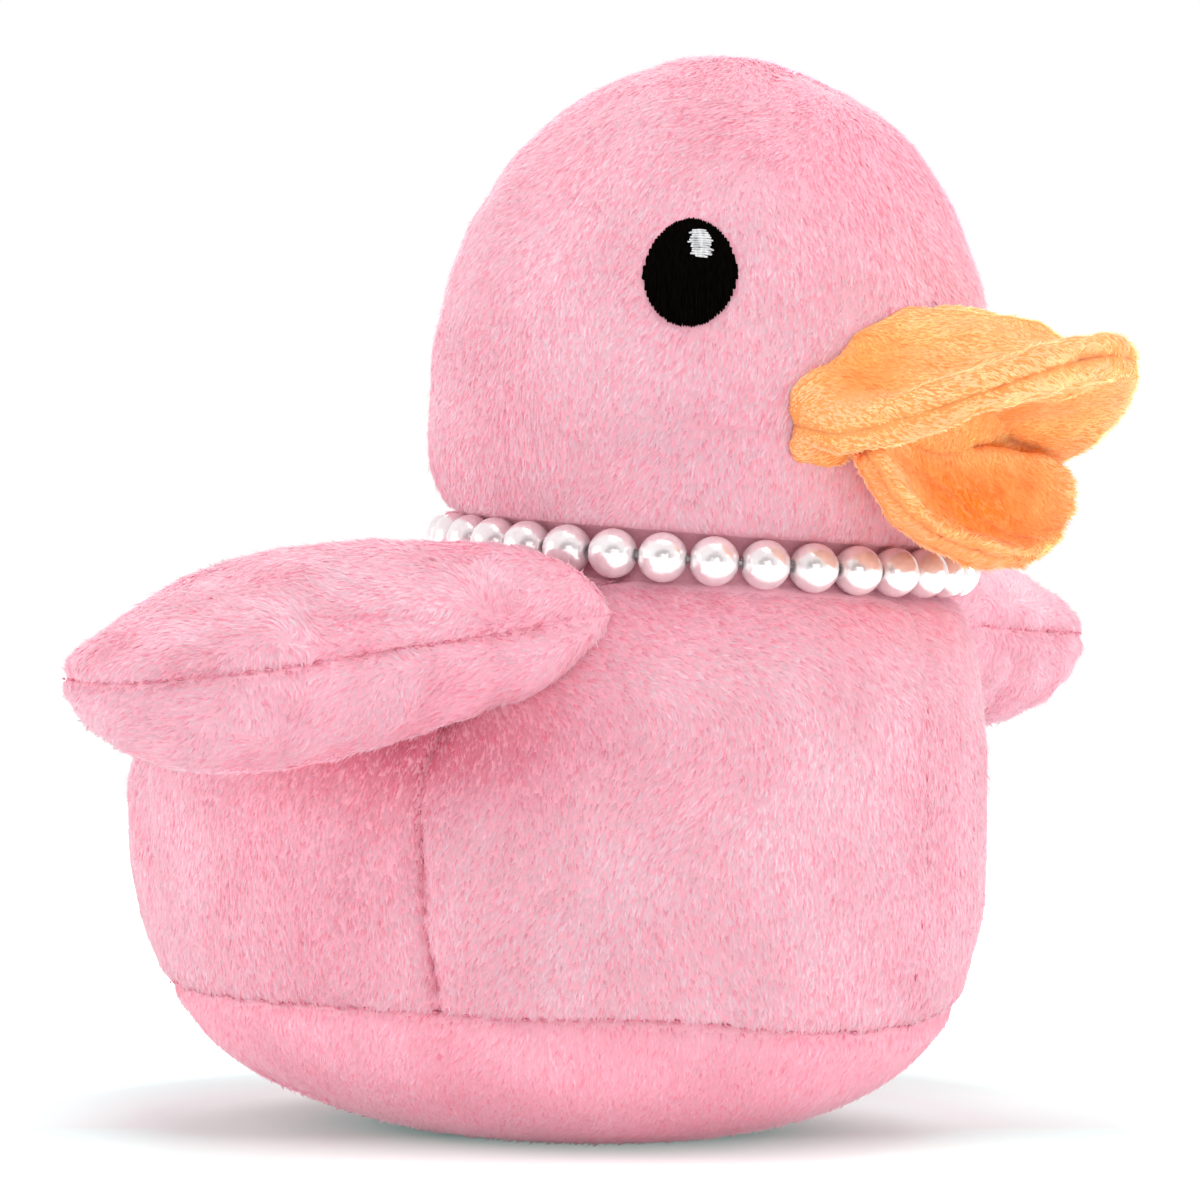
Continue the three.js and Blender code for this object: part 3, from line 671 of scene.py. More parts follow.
def sewAlong(name, lines, inside, body="duck", bend=None):
    bm = bmesh.new()
    draw = np.random.default_rng(17)
    half = Matrix.Diagonal((stitch["width"] / 2, stitch["length"] / 2, stitch["width"] / 2, 1))
    for line in lines:
        along = np.concatenate([[0], np.linalg.norm(np.diff(line, axis=0), axis=1).cumsum()])
        for start in np.arange(stitch["gap"], along[-1] - stitch["length"], stitch["length"] + stitch["gap"]):
            ends = [np.array([np.interp(at, along, line[:, k]) for k in range(3)])
                    for at in (start, start + stitch["length"])]
            way = unit(ends[1] - ends[0])
            out = (ends[0] + ends[1]) / 2 - np.array(inside)
            out = unit(out - (out @ way) * way)
            middle = (ends[0] + ends[1]) / 2 + out * (stitch["lift"] + stitch["wander"] * draw.normal())
            turned = Matrix((np.cross(out, way), way, out)).transposed().to_4x4()
            place = Matrix.Scale(mm, 4) @ Matrix.Translation(middle) @ turned @ half
            bmesh.ops.create_uvsphere(bm, u_segments=6, v_segments=4, radius=1, matrix=place)
    bmesh.ops.recalc_face_normals(bm, faces=bm.faces)
    finishPiece(pieceFrom(bm, name, seamThread), body, bend=bend)


# Body: a round bowl under four side panels

neck = {"height": 99.5, "ahead": 33.2, "tilt": math.radians(5.5)}
ring = {
    "beads": 33,
    "turn": math.radians(5.3),
    "beadRadius": 4.0,
    "bore": 1.5,
    "radius": 42.975,
    "groove": 4.35,
    "cord": 0.35,
    "rootClear": 4.7,
    "tipClear": 4.1,
    "roll": 1.7,  # each bead lies turned further on the cord
}
body = {
    "halfWidth": 65.5,
    "chest": 79.5,
    "rear": 82.5,
    "belly": 56,
    "restDepth": 0.5,
    "baseSeam": 25,
    "shoulder": 94.1,
    "bowlPower": (2.7, 3, 2.38),
    "shoulderPower": ((1.9, 1.1), (6, 1.2), (2.4, 1)),
    "tail": (9, 74, 12, 10),  # reach, height, spread, power
    "seamDip": (3.6, math.radians(36), 14),  # how far the base seam drops under the chest
    "flankTurn": math.radians(71),
    "inside": (0, 0, 45),
    "rows": 76,
    "frontSeam": (64, 0.35),  # the row that it ends at, and how much deeper in the pile it lies
    "baseRows": (24, 34, 1.8),  # under the duck, up to the seam, and how those gather at the floor
    "soft": ((0.5, 46, 3), (0.22, 15, 4)),  # depth, size and seed of each layer of softness
    # depth, lean, place and width from front to back, height and reach, and how far aside they begin
    "folds": ((1.3, 0.12, 47, 3.4, 52, 26, 20), (1.0, 0.2, 61, 4.0, 60, 20, 14)),
    "bowlSwell": (0.9, 16, 8),  # depth, height and reach
    "comb": ((0, 0.25, -1), 0.26, 34, 21),  # aim, and strength, size and seed of its drift
    "chestSweep": (84, 12, (1.08, -1.08, 0.12)),  # height and reach, and how it pulls the comb
    "bare": 0.5,  # height below which no pile grows
}
grooveTurns = np.radians(np.linspace(4, 76, 9))


def superArc(share, power):
    return (1 - np.minimum(share, 1) ** power) ** (1 / power)


def tipped(x, y, z, share):
    return pointsOf(x, y, z + math.tan(neck["tilt"]) * (y + neck["ahead"]) * share)


def bodySection(height):
    wide = (body["halfWidth"], body["chest"], body["rear"])
    low = height <= body["belly"]
    drop = np.clip((body["belly"] - height) / (body["belly"] + body["restDepth"]), 0, 1)
    climb = np.clip((height - body["belly"]) / (neck["height"] - body["belly"]), 0, 1)
    neckRadius = ring["radius"] - ring["groove"]
    narrow = (neckRadius, neck["ahead"] + neckRadius, neckRadius - neck["ahead"])
    reaches = [
        np.where(low, start * superArc(drop, power), to + (start - to) * (1 - climb**up) ** (1 / out))
        for start, to, power, (up, out) in zip(wide, narrow, body["bowlPower"], body["shoulderPower"])
    ]
    tip = np.clip((height - body["belly"]) / (body["shoulder"] - body["belly"]), 0, 1) ** 2
    return reaches + [tip]


def bodyRing(height, phi):
    dip, halfTurn, spread = body["seamDip"]
    ahead = gauss(phi - 2 * np.pi * np.round(phi / 2 / np.pi), 0, halfTurn)
    height = height - dip * ahead * gauss(height, body["baseSeam"], spread) * np.clip(height / 10, 0, 1)
    side, chest, rear, tip = bodySection(height)
    reach, at, spread, power = body["tail"]
    tailReach = reach * gauss(height, at, spread) * np.maximum(0, -np.cos(phi)) ** power
    forth = (chest - rear) / 2 + (chest + rear) / 2 * np.cos(phi) - tailReach
    return tipped(side * np.sin(phi), -forth, height, tip)


def clearOfBody(points, gap):
    x, y, z = np.moveaxis(points, -1, 0)
    height = z
    for _ in range(3):
        height = z - math.tan(neck["tilt"]) * (y + neck["ahead"]) * bodySection(height)[3]
    side, chest, rear, _ = bodySection(height)
    forth = (-y - (chest - rear) / 2) / ((chest + rear) / 2)
    skin = side * np.sqrt(np.clip(1 - forth**2, 0, 1)) + gap
    skin = np.where(height < neck["height"], skin, 0)
    return pointsOf(np.sign(x) * np.maximum(np.abs(x), skin), y, z)


def ringDistance(points):
    cos, sin = math.cos(neck["tilt"]), math.sin(neck["tilt"])
    y, z = points[..., 1] + neck["ahead"], points[..., 2] - neck["height"]
    flat, rise = y * cos + z * sin, z * cos - y * sin
    return np.hypot(np.hypot(points[..., 0], flat) - ring["radius"], rise)


def offBeads(roots, tips):
    return (ringDistance(roots) > ring["rootClear"]) & (ringDistance(tips) > ring["tipClear"])


def grooveRing(turn, phi, side):
    radius = ring["radius"] - ring["groove"] * math.cos(turn)
    rise = side * ring["groove"] * math.sin(turn)
    x, y = radius * np.sin(phi), -radius * np.cos(phi)
    cos, sin = math.cos(neck["tilt"]), math.sin(neck["tilt"])
    return pointsOf(x, y * cos - rise * sin - neck["ahead"], y * sin + rise * cos + neck["height"])


def bodyPanelGrid(start, end, columns):
    phi = np.linspace(start, end, columns)
    heights = np.linspace(body["baseSeam"], body["shoulder"], body["rows"])
    rows = [bodyRing(h, phi) for h in heights] + [grooveRing(turn, phi, -1) for turn in grooveTurns[::-1]]
    return np.stack(rows)


def bodyRelief(points):
    x, y, z = np.moveaxis(points, -1, 0)
    relief = softness(points, body["soft"]) * np.clip((z - 3) / 12, 0, 1)
    for depth, lean, back, width, height, reach, aside in body["folds"]:
        fold = gauss(y - lean * (z - 50), back, width) * gauss(z, height, reach)
        relief -= depth * fold * (np.abs(x) > aside)
    swell, height, reach = body["bowlSwell"]
    return relief + swell * gauss(z, height, reach) * np.clip(z / 8, 0, 1)


def baseGrid():
    under, up, gather = body["baseRows"]
    phi = wholeTurn(257)
    rest = bodyRing(0.0, phi)
    middle = np.array([0, rest[:-1, 1].mean(), 0])
    floorRows = [middle + (rest - middle) * share for share in np.linspace(0, 1, under)]
    rise = body["baseSeam"] * np.linspace(0, 1, up)[1:] ** gather
    return np.stack(floorRows + [bodyRing(h, phi) for h in rise])


bodyComb = combed(*body["comb"])


def chestComb(points):
    height, reach, pull = body["chestSweep"]
    return bodyComb(points) + gauss(points[:, 2:], height, reach) * np.array(pull)


bodyShadeAndCloud = paintedShadeAndCloud(
    [
        ((62, -30, 69), (18, 42, 10), (0.95, 0.52, 0.62)),  # painted shadow under the wing
        ((65, -6, 50), (16, 26, 30), (0.97, 0.84, 0.87)),  # painted shade behind the flank seam
        ((30, -70, 90), (40, 40, 7), (0.99, 0.77, 0.82)),  # painted shade below the necklace
        ((0, -80, 50), (13, 12, 40), (0.99, 0.97, 0.98)),  # down the middle of the chest
    ],
    24, 0.05, 23,
)
# painted light: the whole base is a redder pink than its cloth, standing in for light reaching under the duck
baseLightAndCloud = paintedShadeAndCloud([((0, 0, 10), (200, 200, 200), (1.16, 0.98, 1.02))], 26, 0.06, 24)


def aboveFloor(roots, tips):
    return roots[:, 2] > body["bare"]


def makeBody():
    flank = body["flankTurn"]
    spans = {
        "chest_panel_left": (0, flank, 86),
        "rear_panel_left": (flank, np.pi, 124),
        "rear_panel_right": (np.pi, 2 * np.pi - flank, 124),
        "chest_panel_right": (2 * np.pi - flank, 2 * np.pi, 86),
    }
    frontEnd, deeper = body["frontSeam"]
    seams = []
    for index, (node, (start, end, columns)) in enumerate(spans.items()):
        softSide, side = ("left", "right") if start in (0, np.pi) else ("right", "left")
        panel = shapePanel(bodyPanelGrid(start, end, columns), body["inside"], bodyRelief,
                           seams=("low", side), softSeams=(softSide,))
        points = panel["points"]
        seams.append(points[0])
        if start == flank:
            seams.append(points[2:body["rows"], 0])
        if end == 2 * np.pi - flank:
            seams.append(points[2:body["rows"], -1])
        if start == 0:
            seams.append(points[2:frontEnd, 0] + np.array([0, deeper, 0]))
        comb, density = (chestComb, 4.8) if "chest" in node else (bodyComb, 4.5)
        clothe(node, panel, {**pinkLook, "density": density}, comb, 40 + index, bodyShadeAndCloud, offBeads)
    panel = shapePanel(baseGrid(), body["inside"], bodyRelief, closed=True, seams=("high",))
    panel["points"][..., 2] = np.maximum(panel["points"][..., 2], 0)
    smoother = {**pinkLook, "density": 4.2, "darkShare": 0.1, "paleShare": 0.1}
    clothe("base_panel", panel, smoother, bodyComb, 45, baseLightAndCloud, aboveFloor)
    sewAlong("body_seam_stitches", seams, body["inside"])


makeBody()
print("stage: body")

# Head: two halves that meet over the middle

head = {
    "radius": 46.9,
    "ahead": 35.6,
    "cheek": 126,
    "crown": 56,
    "jaw": 37,
    "lip": 104.9,
    "powers": (2.1, 2.7),
    "inside": (0, -35, 138),
    "soft": ((0.5, 40, 5), (0.2, 14, 6)),
    "creases": ((119, 4), (34, 5), 0.5, 1.5),  # height and reach, place and reach aside, depth, pace
    "cheeks": ((116, 5), (32, 8), 1.2),
    "nape": ((132, 24), 1.2),
    "brow": ((168, 14), 0.7),
    "comb": ((0, 0.35, -1), 0.26, 30, 31),
}
eye = {
    "width": 15,
    "height": 17.6,
    "aside": math.radians(56.7),
    "middle": 142,
    "lift": 0.3,
    "dome": 0.9,
    "threads": 37,
    "samples": 13,
    "scatter": (0.008, 0.006, 0.03),  # of the ends, the place and the lift of a thread
    "thread": (0.3, 0.26),  # half its width and thickness
    "pileClear": (1.0, 0.97),  # of its radius, for the roots and the tips of blades
}
headShadingAndCloud = paintedShadeAndCloud(
    [
        ((34, 2, 150), (14, 12, 34), (1.04, 1.06, 1.05)),  # painted light on the back of the head
        ((12, -74, 165), (24, 16, 16), (1.0, 0.84, 0.88)),  # painted shade above the bill
        ((40, -68, 118), (12, 12, 8), (1.0, 0.9, 0.93)),  # painted shade on the cheeks by the mouth
    ],
    22, 0.05, 33,
)


def headRadius(height):
    above = height >= head["cheek"]
    reach = np.where(above, head["crown"], head["jaw"])
    share = np.minimum(np.abs(height - head["cheek"]) / reach, 1)
    upper, lower = head["powers"]
    return head["radius"] * np.where(above, superArc(share, upper), superArc(share, lower))


def headMiddle(height):
    share = np.clip((head["cheek"] - height) / (head["cheek"] - head["lip"]), 0, 1)
    return head["ahead"] + (neck["ahead"] - head["ahead"]) * share, share


def headPoint(radius, phi, height):
    forth, share = headMiddle(height)
    return tipped(radius * np.sin(phi), -forth - radius * np.cos(phi), height, share**2)


def headHalfGrid(start, end, columns):
    phi = np.linspace(start, end, columns)
    rows = [grooveRing(turn, phi, 1) for turn in grooveTurns]
    heights = list(np.linspace(head["lip"], head["cheek"], 24))
    heights += [head["cheek"] + head["crown"] * math.sin(t) for t in np.linspace(0, np.pi / 2, 84)[1:]]
    rows += [headPoint(headRadius(h), phi, h) for h in heights]
    return np.stack(rows)


def faceDepth(points):  # how far a point lies inside the head
    forth, _ = headMiddle(points[..., 2])
    return headRadius(points[..., 2]) - np.hypot(points[..., 0], points[..., 1] + forth)


def facePoint(turn, height, distance):
    radius = headRadius(height)
    slope = (headRadius(height + 0.4) - headRadius(height - 0.4)) / 0.8
    outward = unit(pointsOf(np.sin(turn), -np.cos(turn), -slope))
    return headPoint(radius, turn, height) + outward * np.asarray(distance)[..., None]


def eyeShare(points):
    turn = np.arctan2(np.abs(points[:, 0]), -(points[:, 1] + head["ahead"]))
    side = (turn - eye["aside"]) * headRadius(points[:, 2]) / (eye["width"] / 2)
    return np.hypot(side, (points[:, 2] - eye["middle"]) / (eye["height"] / 2))


def clearOfEye(roots, tips):
    rootClear, tipClear = eye["pileClear"]
    return (eyeShare(roots) > rootClear) & (eyeShare(tips) > tipClear) & offBeads(roots, tips)


def headRelief(points):
    x, y, z = np.moveaxis(points, -1, 0)
    x = np.abs(x)
    height, aside, depth, pace = head["creases"]
    hollows = depth * np.sin(z * pace) * gauss(z, *height) * gauss(x, *aside)
    height, aside, depth = head["cheeks"]
    hollows += depth * gauss(z, *height) * gauss(x, *aside)
    height, swell = head["nape"]
    full = swell * gauss(z, *height) * np.clip((y + 30) / 30, 0, 1)
    height, swell = head["brow"]
    full += swell * gauss(z, *height) * (y < -35)
    return softness(points, head["soft"]) * np.clip((z - 106) / 10, 0, 1) - hollows * (y < -50) + full


def makeHead():
    comb = combed(*head["comb"])
    for index, (side, start) in enumerate((("left", 0), ("right", np.pi))):
        panel = shapePanel(headHalfGrid(start, start + np.pi, 130), head["inside"], headRelief,
                           softSeams=("left", "right"))
        clothe("head_half_" + side, panel, pinkLook, comb, 60 + index, headShadingAndCloud, clearOfEye)


makeHead()
print("stage: head")

# Wings: leaf-shaped pads sewn on at the root

wing = {
    "length": 67.5,
    "rootHeight": 87.5,
    "rootAhead": 30,
    "rootHalfWidth": 23,
    "leading": 24,
    "trailing": 26,
    "crown": 17.5,
    "tipCrown": 9,
    "depth": 18,
    "clearance": 0.5,
    "seamStart": 56,
    "rootFlattening": 1.35,
    "blendFrom": 3,
    "blendTo": 20,
    "rootShare": 0.85,  # of the half width, where the outline leaves the root
    "leadingCorners": ((0.38, 0.93), (0.68, 0.98), (0.92, 0.62)),  # shares of length and of leading
    "trailingCorners": ((0.9, 0.6), (0.64, 1), (0.34, 0.98)),
    "heart": 0.52,
    "soft": ((0.35, 24, 8), (0.2, 9, 9)),
    "topSwell": ((72, 18), 1.6),
    "frontSwell": ((56, 11), (-45, 10), 2.6),
}
wingLie = {
    "right": {"sweep": math.radians(30), "droop": math.radians(9), "sign": -1},
    "left": {"sweep": math.radians(11), "droop": math.radians(1), "sign": 1},
}


def flankAt(forth):
    side, chest, rear, _ = bodySection(wing["rootHeight"])
    return side * math.sqrt(1 - ((2 * forth - chest + rear) / (chest + rear)) ** 2)


def smoothLoop(corners, share):
    corners = np.array(corners)
    count = len(corners)
    place = share * count
    first = np.floor(place).astype(int)
    weight = (place - first)[:, None]
    p0, p1, p2, p3 = (corners[(first + k) % count] for k in (-1, 0, 1, 2))
    sides = ((p0, p1), (p1, p2), (p2, p3))
    d0, d1, d2 = (np.linalg.norm(b - a, axis=1, keepdims=True) ** 0.5 for a, b in sides)
    out = ((p1 - p0) / d0 - (p2 - p0) / (d0 + d1) + (p2 - p1) / d1) * d1
    back = ((p2 - p1) / d1 - (p3 - p1) / (d1 + d2) + (p3 - p2) / d2) * d1
    return (p1 + out * weight + (-3 * p1 + 3 * p2 - 2 * out - back) * weight**2
            + (2 * p1 - 2 * p2 + out + back) * weight**3)


def wingOutline(lie, phi):
    def rootPoint(share):
        forth = wing["rootAhead"] + wing["rootHalfWidth"] * share
        return np.array([flankAt(forth) + wing["clearance"], forth])

    def bladePoint(along, length):
        return middle + out * wing["length"] * along + forward * length

    middle = rootPoint(0)
    out = np.array([math.cos(lie["sweep"]), -math.sin(lie["sweep"])])
    forward = np.array([math.sin(lie["sweep"]), math.cos(lie["sweep"])])
    corners = [rootPoint(0), rootPoint(wing["rootShare"])]
    corners += [bladePoint(along, wing["leading"] * share) for along, share in wing["leadingCorners"]]
    corners.append(bladePoint(1, 0))
    corners += [bladePoint(along, -wing["trailing"] * share) for along, share in wing["trailingCorners"]]
    corners.append(rootPoint(-wing["rootShare"]))
    corners = [(x, -forth, 0) for x, forth in corners]
    heart = bladePoint(wing["heart"], 0)
    return smoothLoop(corners, phi / (2 * np.pi)), np.array([heart[0], -heart[1], 0]), middle


def wingGrid(lie, side, inset=0.0, columns=209, rows=36):
    phi = wholeTurn(columns)
    outline, centre, middle = wingOutline(lie, phi % (2 * np.pi))
    spoke = outline - centre
    length = np.linalg.norm(spoke, axis=1)
    rootward = np.maximum(0, -spoke[:, 0] / length) ** 2
    grid = []
    for turn in np.linspace(np.pi / 2, 0, rows):
        edge, bulgeShare = math.cos(turn), math.sin(turn)
        place = centre + spoke * (edge * (length - inset) / length)[:, None]
        outShare = (place[:, 0] - middle[0]) / wing["length"]
        crown = wing["crown"] + (wing["tipCrown"] - wing["crown"]) * outShare
        bulge = (crown if side > 0 else wing["depth"]) - inset
        height = bulge * bulgeShare ** (1 + wing["rootFlattening"] * rootward)
        fall = math.tan(lie["droop"]) * (place[:, 0] - middle[0])
        rise = wing["rootHeight"] - fall + side * height
        grid.append(pointsOf(lie["sign"] * place[:, 0], place[:, 1], rise))
    return np.stack(grid)


def wingRelief(points):
    x, y, z = np.moveaxis(points, -1, 0)
    x = np.abs(x)
    off = 1 - gauss(edgeDistances(points)["high"], 0, 3)
    aside, swell = wing["topSwell"]
    full = swell * gauss(x, *aside) * (z > wing["rootHeight"])
    aside, forth, swell = wing["frontSwell"]
    full += swell * gauss(y, *forth) * gauss(x, *aside)
    return full * off + softness(points, wing["soft"])


wingSeam = {
    "depth": 0.9,
    "width": 1.3,
    "pucker": 0.4,
    "puckerSize": 5,
    "fade": (52, 8),  # drawn in from 52 mm aside, fully 8 mm further out
}


def wingBend(lie):
    def place(out):
        return (lie["sign"] * (root + out) * mm, -wing["rootAhead"] * mm, wing["rootHeight"] * mm)

    root = flankAt(wing["rootAhead"]) + wing["clearance"]
    return {"start": place(wing["blendFrom"]), "end": place(wing["blendTo"])}


def offFlank(points):
    return clearOfBody(points, wing["clearance"])


# painted shade on the wing: darker by its root and on its underside
wingShadeAndCloud = paintedShadeAndCloud(
    [((58, -34, 90), (12, 24, 14), (0.97, 0.84, 0.88)), ((80, -20, 74), (36, 36, 12), (0.96, 0.83, 0.87))],
    17, 0.08, 53,
)


def makeWings():
    for side, lie in wingLie.items():
        inside = (lie["sign"] * 84, -20, wing["rootHeight"] - 4)
        rides, bend = "wing_" + side, wingBend(lie)
        comb = combed((0.3 * lie["sign"], 0.6, -0.5), 0.5, 22, 51)
        for face, facing in (("top", 1), ("underside", -1)):
            panel = shapePanel(wingGrid(lie, facing), inside, wingRelief, closed=True, seams=("high",),
                               seam=wingSeam, settle=offFlank)
            look = {**pinkLook, "density": 4.6 + 0.2 * facing, "darkShare": 0.14, "fill": 0.9}
            seed = 70 + facing + 3 * lie["sign"]
            clothe(f"wing_{face}_{side}", panel, look, comb, seed, wingShadeAndCloud, body=rides, bend=bend)
        rim = panel["points"][-1]
        rim = rim[np.abs(rim[:, 0]) > wing["seamStart"]]
        sewAlong(f"wing_seam_stitches_{side}", [rim], inside, rides, bend)


makeWings()
print("stage: wings")

# Bill: an upper pad with a rolled rim over a smaller lower pad

upperBill = {
    "halfWidth": 30,
    "ahead": 48,
    "tip": 28.5,
    "root": 23,
    "rim": 128.5,
    "side": 116,
    "cornerRise": 6,
    "middle": 124,
    "crown": 13,
    "sideCrown": 8,
    "depth": 2.2,
    "roll": 3,
    "twist": 2.2,
    "squareness": 0.85,
    "curl": 1.1,
    "throat": (7.8, 0, 15),  # how deep the lining sags, where, and over what reach
    "corner": (4.6, 21.5, 6.5),
    "inside": (0, -83, 123),
}
lowerBill = {
    "halfWidth": 24.6,
    "tip": 12,
    "tipSquareness": 1.2,
    "upright": (0.2, 9, 13),  # how far its sides lean forward, from where, and over what reach
    "flare": 0.012,
    "root": 12,
    "centre": (0, -85.1, 105),
    "droop": math.radians(58),
    "crown": 2.4,
    "depth": 5,
    "roll": 2.4,
    "squareness": 0.5,
    "rim": 4.5,
    "inside": (0, -85, 105),
}


rimRise = (0.33, 0.6, 2.8)  # where a rolled rim ends, its roundness, and that of the pad inside it


def rolledRise(crown, roll, bulgeShare):
    end, rimPower, padPower = rimRise
    return roll * min(1, bulgeShare / end) ** rimPower + (crown - roll) * bulgeShare**padPower


def squared(share, power):
    return np.sign(share) * np.abs(share) ** power


def upperBillGrid(side, inset=0.0, columns=201, rows=44, root=upperBill["root"]):
    bill = upperBill
    phi = wholeTurn(columns)
    cos, sin = np.cos(phi), np.sin(phi)
    ahead = np.maximum(0, cos)
    length = np.where(cos > 0, bill["tip"], root)
    seam = bill["side"] + (bill["rim"] - bill["side"]) * ahead ** bill["curl"]
    seam = seam + bill["cornerRise"] * np.maximum(0, -cos) + bill["twist"] * ahead * 2 * sin
    grid = []
    for turn in np.linspace(np.pi / 2, 0, rows):
        edge, bulgeShare = math.cos(turn), math.sin(turn)
        x = (bill["halfWidth"] - inset) * sin * edge
        y = (length - inset) * squared(cos, bill["squareness"]) * edge
        out = np.hypot(x / bill["halfWidth"], y / length)
        middle = bill["middle"] + (seam - bill["middle"]) * out**2
        crown = bill["crown"] + (bill["sideCrown"] - bill["crown"]) * edge * sin**2
        full = (crown if side > 0 else bill["depth"]) - inset
        height = rolledRise(full, bill["roll"] - inset, bulgeShare)
        points = pointsOf(x, -head["ahead"] - bill["ahead"] - y, middle + side * height)
        if side < 0:  # the lining sags against the face, down to the lower bill
            near = np.clip(1 + faceDepth(points) / 5, 0, 1) * min(1, bulgeShare / 0.25)
            sag = sum(depth * gauss(np.abs(x), *place) for depth, *place in (bill["throat"], bill["corner"]))
            points[:, 2] -= near**2 * (3 - 2 * near) * sag
        grid.append(points)
    return np.stack(grid)


def lowerBillGrid(side, inset=0.0, columns=161, rows=32, root=lowerBill["root"]):
    bill = lowerBill
    phi = wholeTurn(columns)
    cos, sin = np.cos(phi), np.sin(phi)
    length = np.where(cos > 0, bill["tip"], root)
    power = np.where(cos > 0, bill["tipSquareness"], bill["squareness"])
    pitchCos, pitchSin = math.cos(bill["droop"]), math.sin(bill["droop"])
    cx, cy, cz = bill["centre"]
    lean, start, over = bill["upright"]
    grid = []
    for turn in np.linspace(np.pi / 2, 0, rows):
        edge, bulgeShare = math.cos(turn), math.sin(turn)
        x = (bill["halfWidth"] - inset) * squared(sin, power) * edge
        y = -(length - inset) * squared(cos, power) * edge
        out = np.hypot(x / bill["halfWidth"], y / length)
        full = (bill["crown"] if side > 0 else bill["depth"]) - inset
        bulge = rolledRise(full, bill["roll"] - inset, bulgeShare)
        z = bill["rim"] * out**2 * np.minimum(1, 1 + cos) + side * bulge
        rise = y * pitchSin + z * pitchCos
        forth = lean * np.maximum(0, rise) * np.clip((np.abs(x) - start) / over, 0, 1)
        x = x * (1 + bill["flare"] * np.maximum(0, rise))
        grid.append(pointsOf(x + cx, y * pitchCos - z * pitchSin + cy - forth, rise + cz))
    return np.stack(grid)


billShadingPatches = {
    "upper_bill_top": [
        # painted light on the top of the upper bill
        ((6, -78, 137), (24, 12, 9), (1.0, 1.2, 1.2)),
        # painted shade in the hollow behind the rolled rim, in two patches
        ((19, -82, 129), (9, 9, 5), (1, 0.7, 0.44)),
        ((25, -84, 124), (7, 6, 3.6), (1, 0.7, 0.44)),
    ],
    # painted shade on the lining under the upper bill
    "upper_bill_underside": [((0, -84, 118), (30, 14, 6), (1.0, 1.0, 0.9))],
    # painted shade inside the mouth
    "lower_bill_top": [((0, -84, 106), (19, 14, 9), (1.0, 0.46, 0.04))],
    # painted shade under the lower bill
    "lower_bill_underside": [((0, -90, 104), (60, 60, 60), (1, 0.78, 0.76))],
}
rimSeam = {
    "depth": 0.5,
    "width": 1.1,
    "pucker": 0.7,
    "puckerSize": 3.4,
    "fade": (27, -8),  # flat from 27 mm aside, drawn in fully 8 mm nearer the middle
}


billForm = {
    "rim": (3.6, 2.2),  # place from the seam, and reach
    "hollow": (10, 4),
    "root": (-78, 9),
    "sides": ((1, 6, 14, 13), (0.75, 3, 24.5, 3.6)),  # share, clear of the seam, place aside, reach
    "soft": ((0.3, 7, 12),),
    "comb": ((0, -1, -0.3), 0.35, 14, 81),
    "bare": (0.4, 0.5),  # nearer to the face than this neither cloth nor pile is made
}


def rolledRim(height, hollow, side=0.0):
    def relief(points):
        away = edgeDistances(points)["high"]
        roll = height * gauss(away, *billForm["rim"]) - hollow * gauss(away, *billForm["hollow"])
        aside, root = np.abs(points[..., 0]), gauss(points[..., 1], *billForm["root"])
        for share, clear, place, reach in billForm["sides"]:
            roll += share * side * (1 - gauss(away, 0, clear)) * gauss(aside, place, reach) * root
        return roll + softness(points, billForm["soft"])

    return relief


def clearOfFace(points, gap):
    x, z = points[..., 0], points[..., 2]
    forth, _ = headMiddle(z)
    skin = -forth - np.sqrt(np.maximum((headRadius(z) + gap) ** 2 - x**2, 0))
    return pointsOf(x, np.minimum(points[..., 1], skin), z)


def bladesOutOfFace(roots, tips):
    return faceDepth(roots) < -billForm["bare"][1]


def makeBills():
    comb = combed(*billForm["comb"])
    pads = [
        ("upper_bill_top", upperBillGrid(1), upperBill, "duck", (0.6, 1.6, 4.4)),
        ("upper_bill_underside", upperBillGrid(-1), upperBill, "duck", (0.6, 0)),
        ("lower_bill_top", lowerBillGrid(1), lowerBill, "lower_bill", (0.3, 0)),
        ("lower_bill_underside", lowerBillGrid(-1), lowerBill, "lower_bill", (0.3, 0)),
    ]
    for index, (node, grid, bill, rides, roll) in enumerate(pads):
        inside = np.array(bill["inside"], float)
        panel = shapePanel(grid, inside, rolledRim(*roll), closed=True, seams=("high",), seam=rimSeam)
        tint = paintedShadeAndCloud(billShadingPatches[node], 10, 0.05, 93)
        clothe(node, panel, orangeLook, comb, 90 + index, tint, bladesOutOfFace, rides,
               hidden=faceDepth(panel["points"]) > -billForm["bare"][0])


makeBills()
print("stage: bill")

# Fillings: what the covers hold

filling = {
    "inset": 3.2,
    "floor": 2.4,
    "body": (0.6, body["shoulder"], 40),
    "head": (112, 181, 30),
    "grooveTurns": np.radians([30, 60]),
    "wingGrid": (97, 14),
    "billGrid": (81, 12),
}


def fillingPiece(node, grid, rides="duck", bend=None):
    bm = bmesh.new()
    gridInto(bm, grid)
    bmesh.ops.remove_doubles(bm, verts=bm.verts, dist=1e-6)
    bmesh.ops.holes_fill(bm, edges=bm.edges, sides=0)
    bmesh.ops.recalc_face_normals(bm, faces=bm.faces)
    finishPiece(pieceFrom(bm, node + "_fibre", polyesterFibre), rides, (node,), bend)


def bothPanels(top, underside):
    return np.concatenate([top, underside[::-1][1:]])


def inward(rows, inside):
    points = np.stack(rows)
    return points - surfaceNormals(points, True, np.array(inside, float)) * filling["inset"]


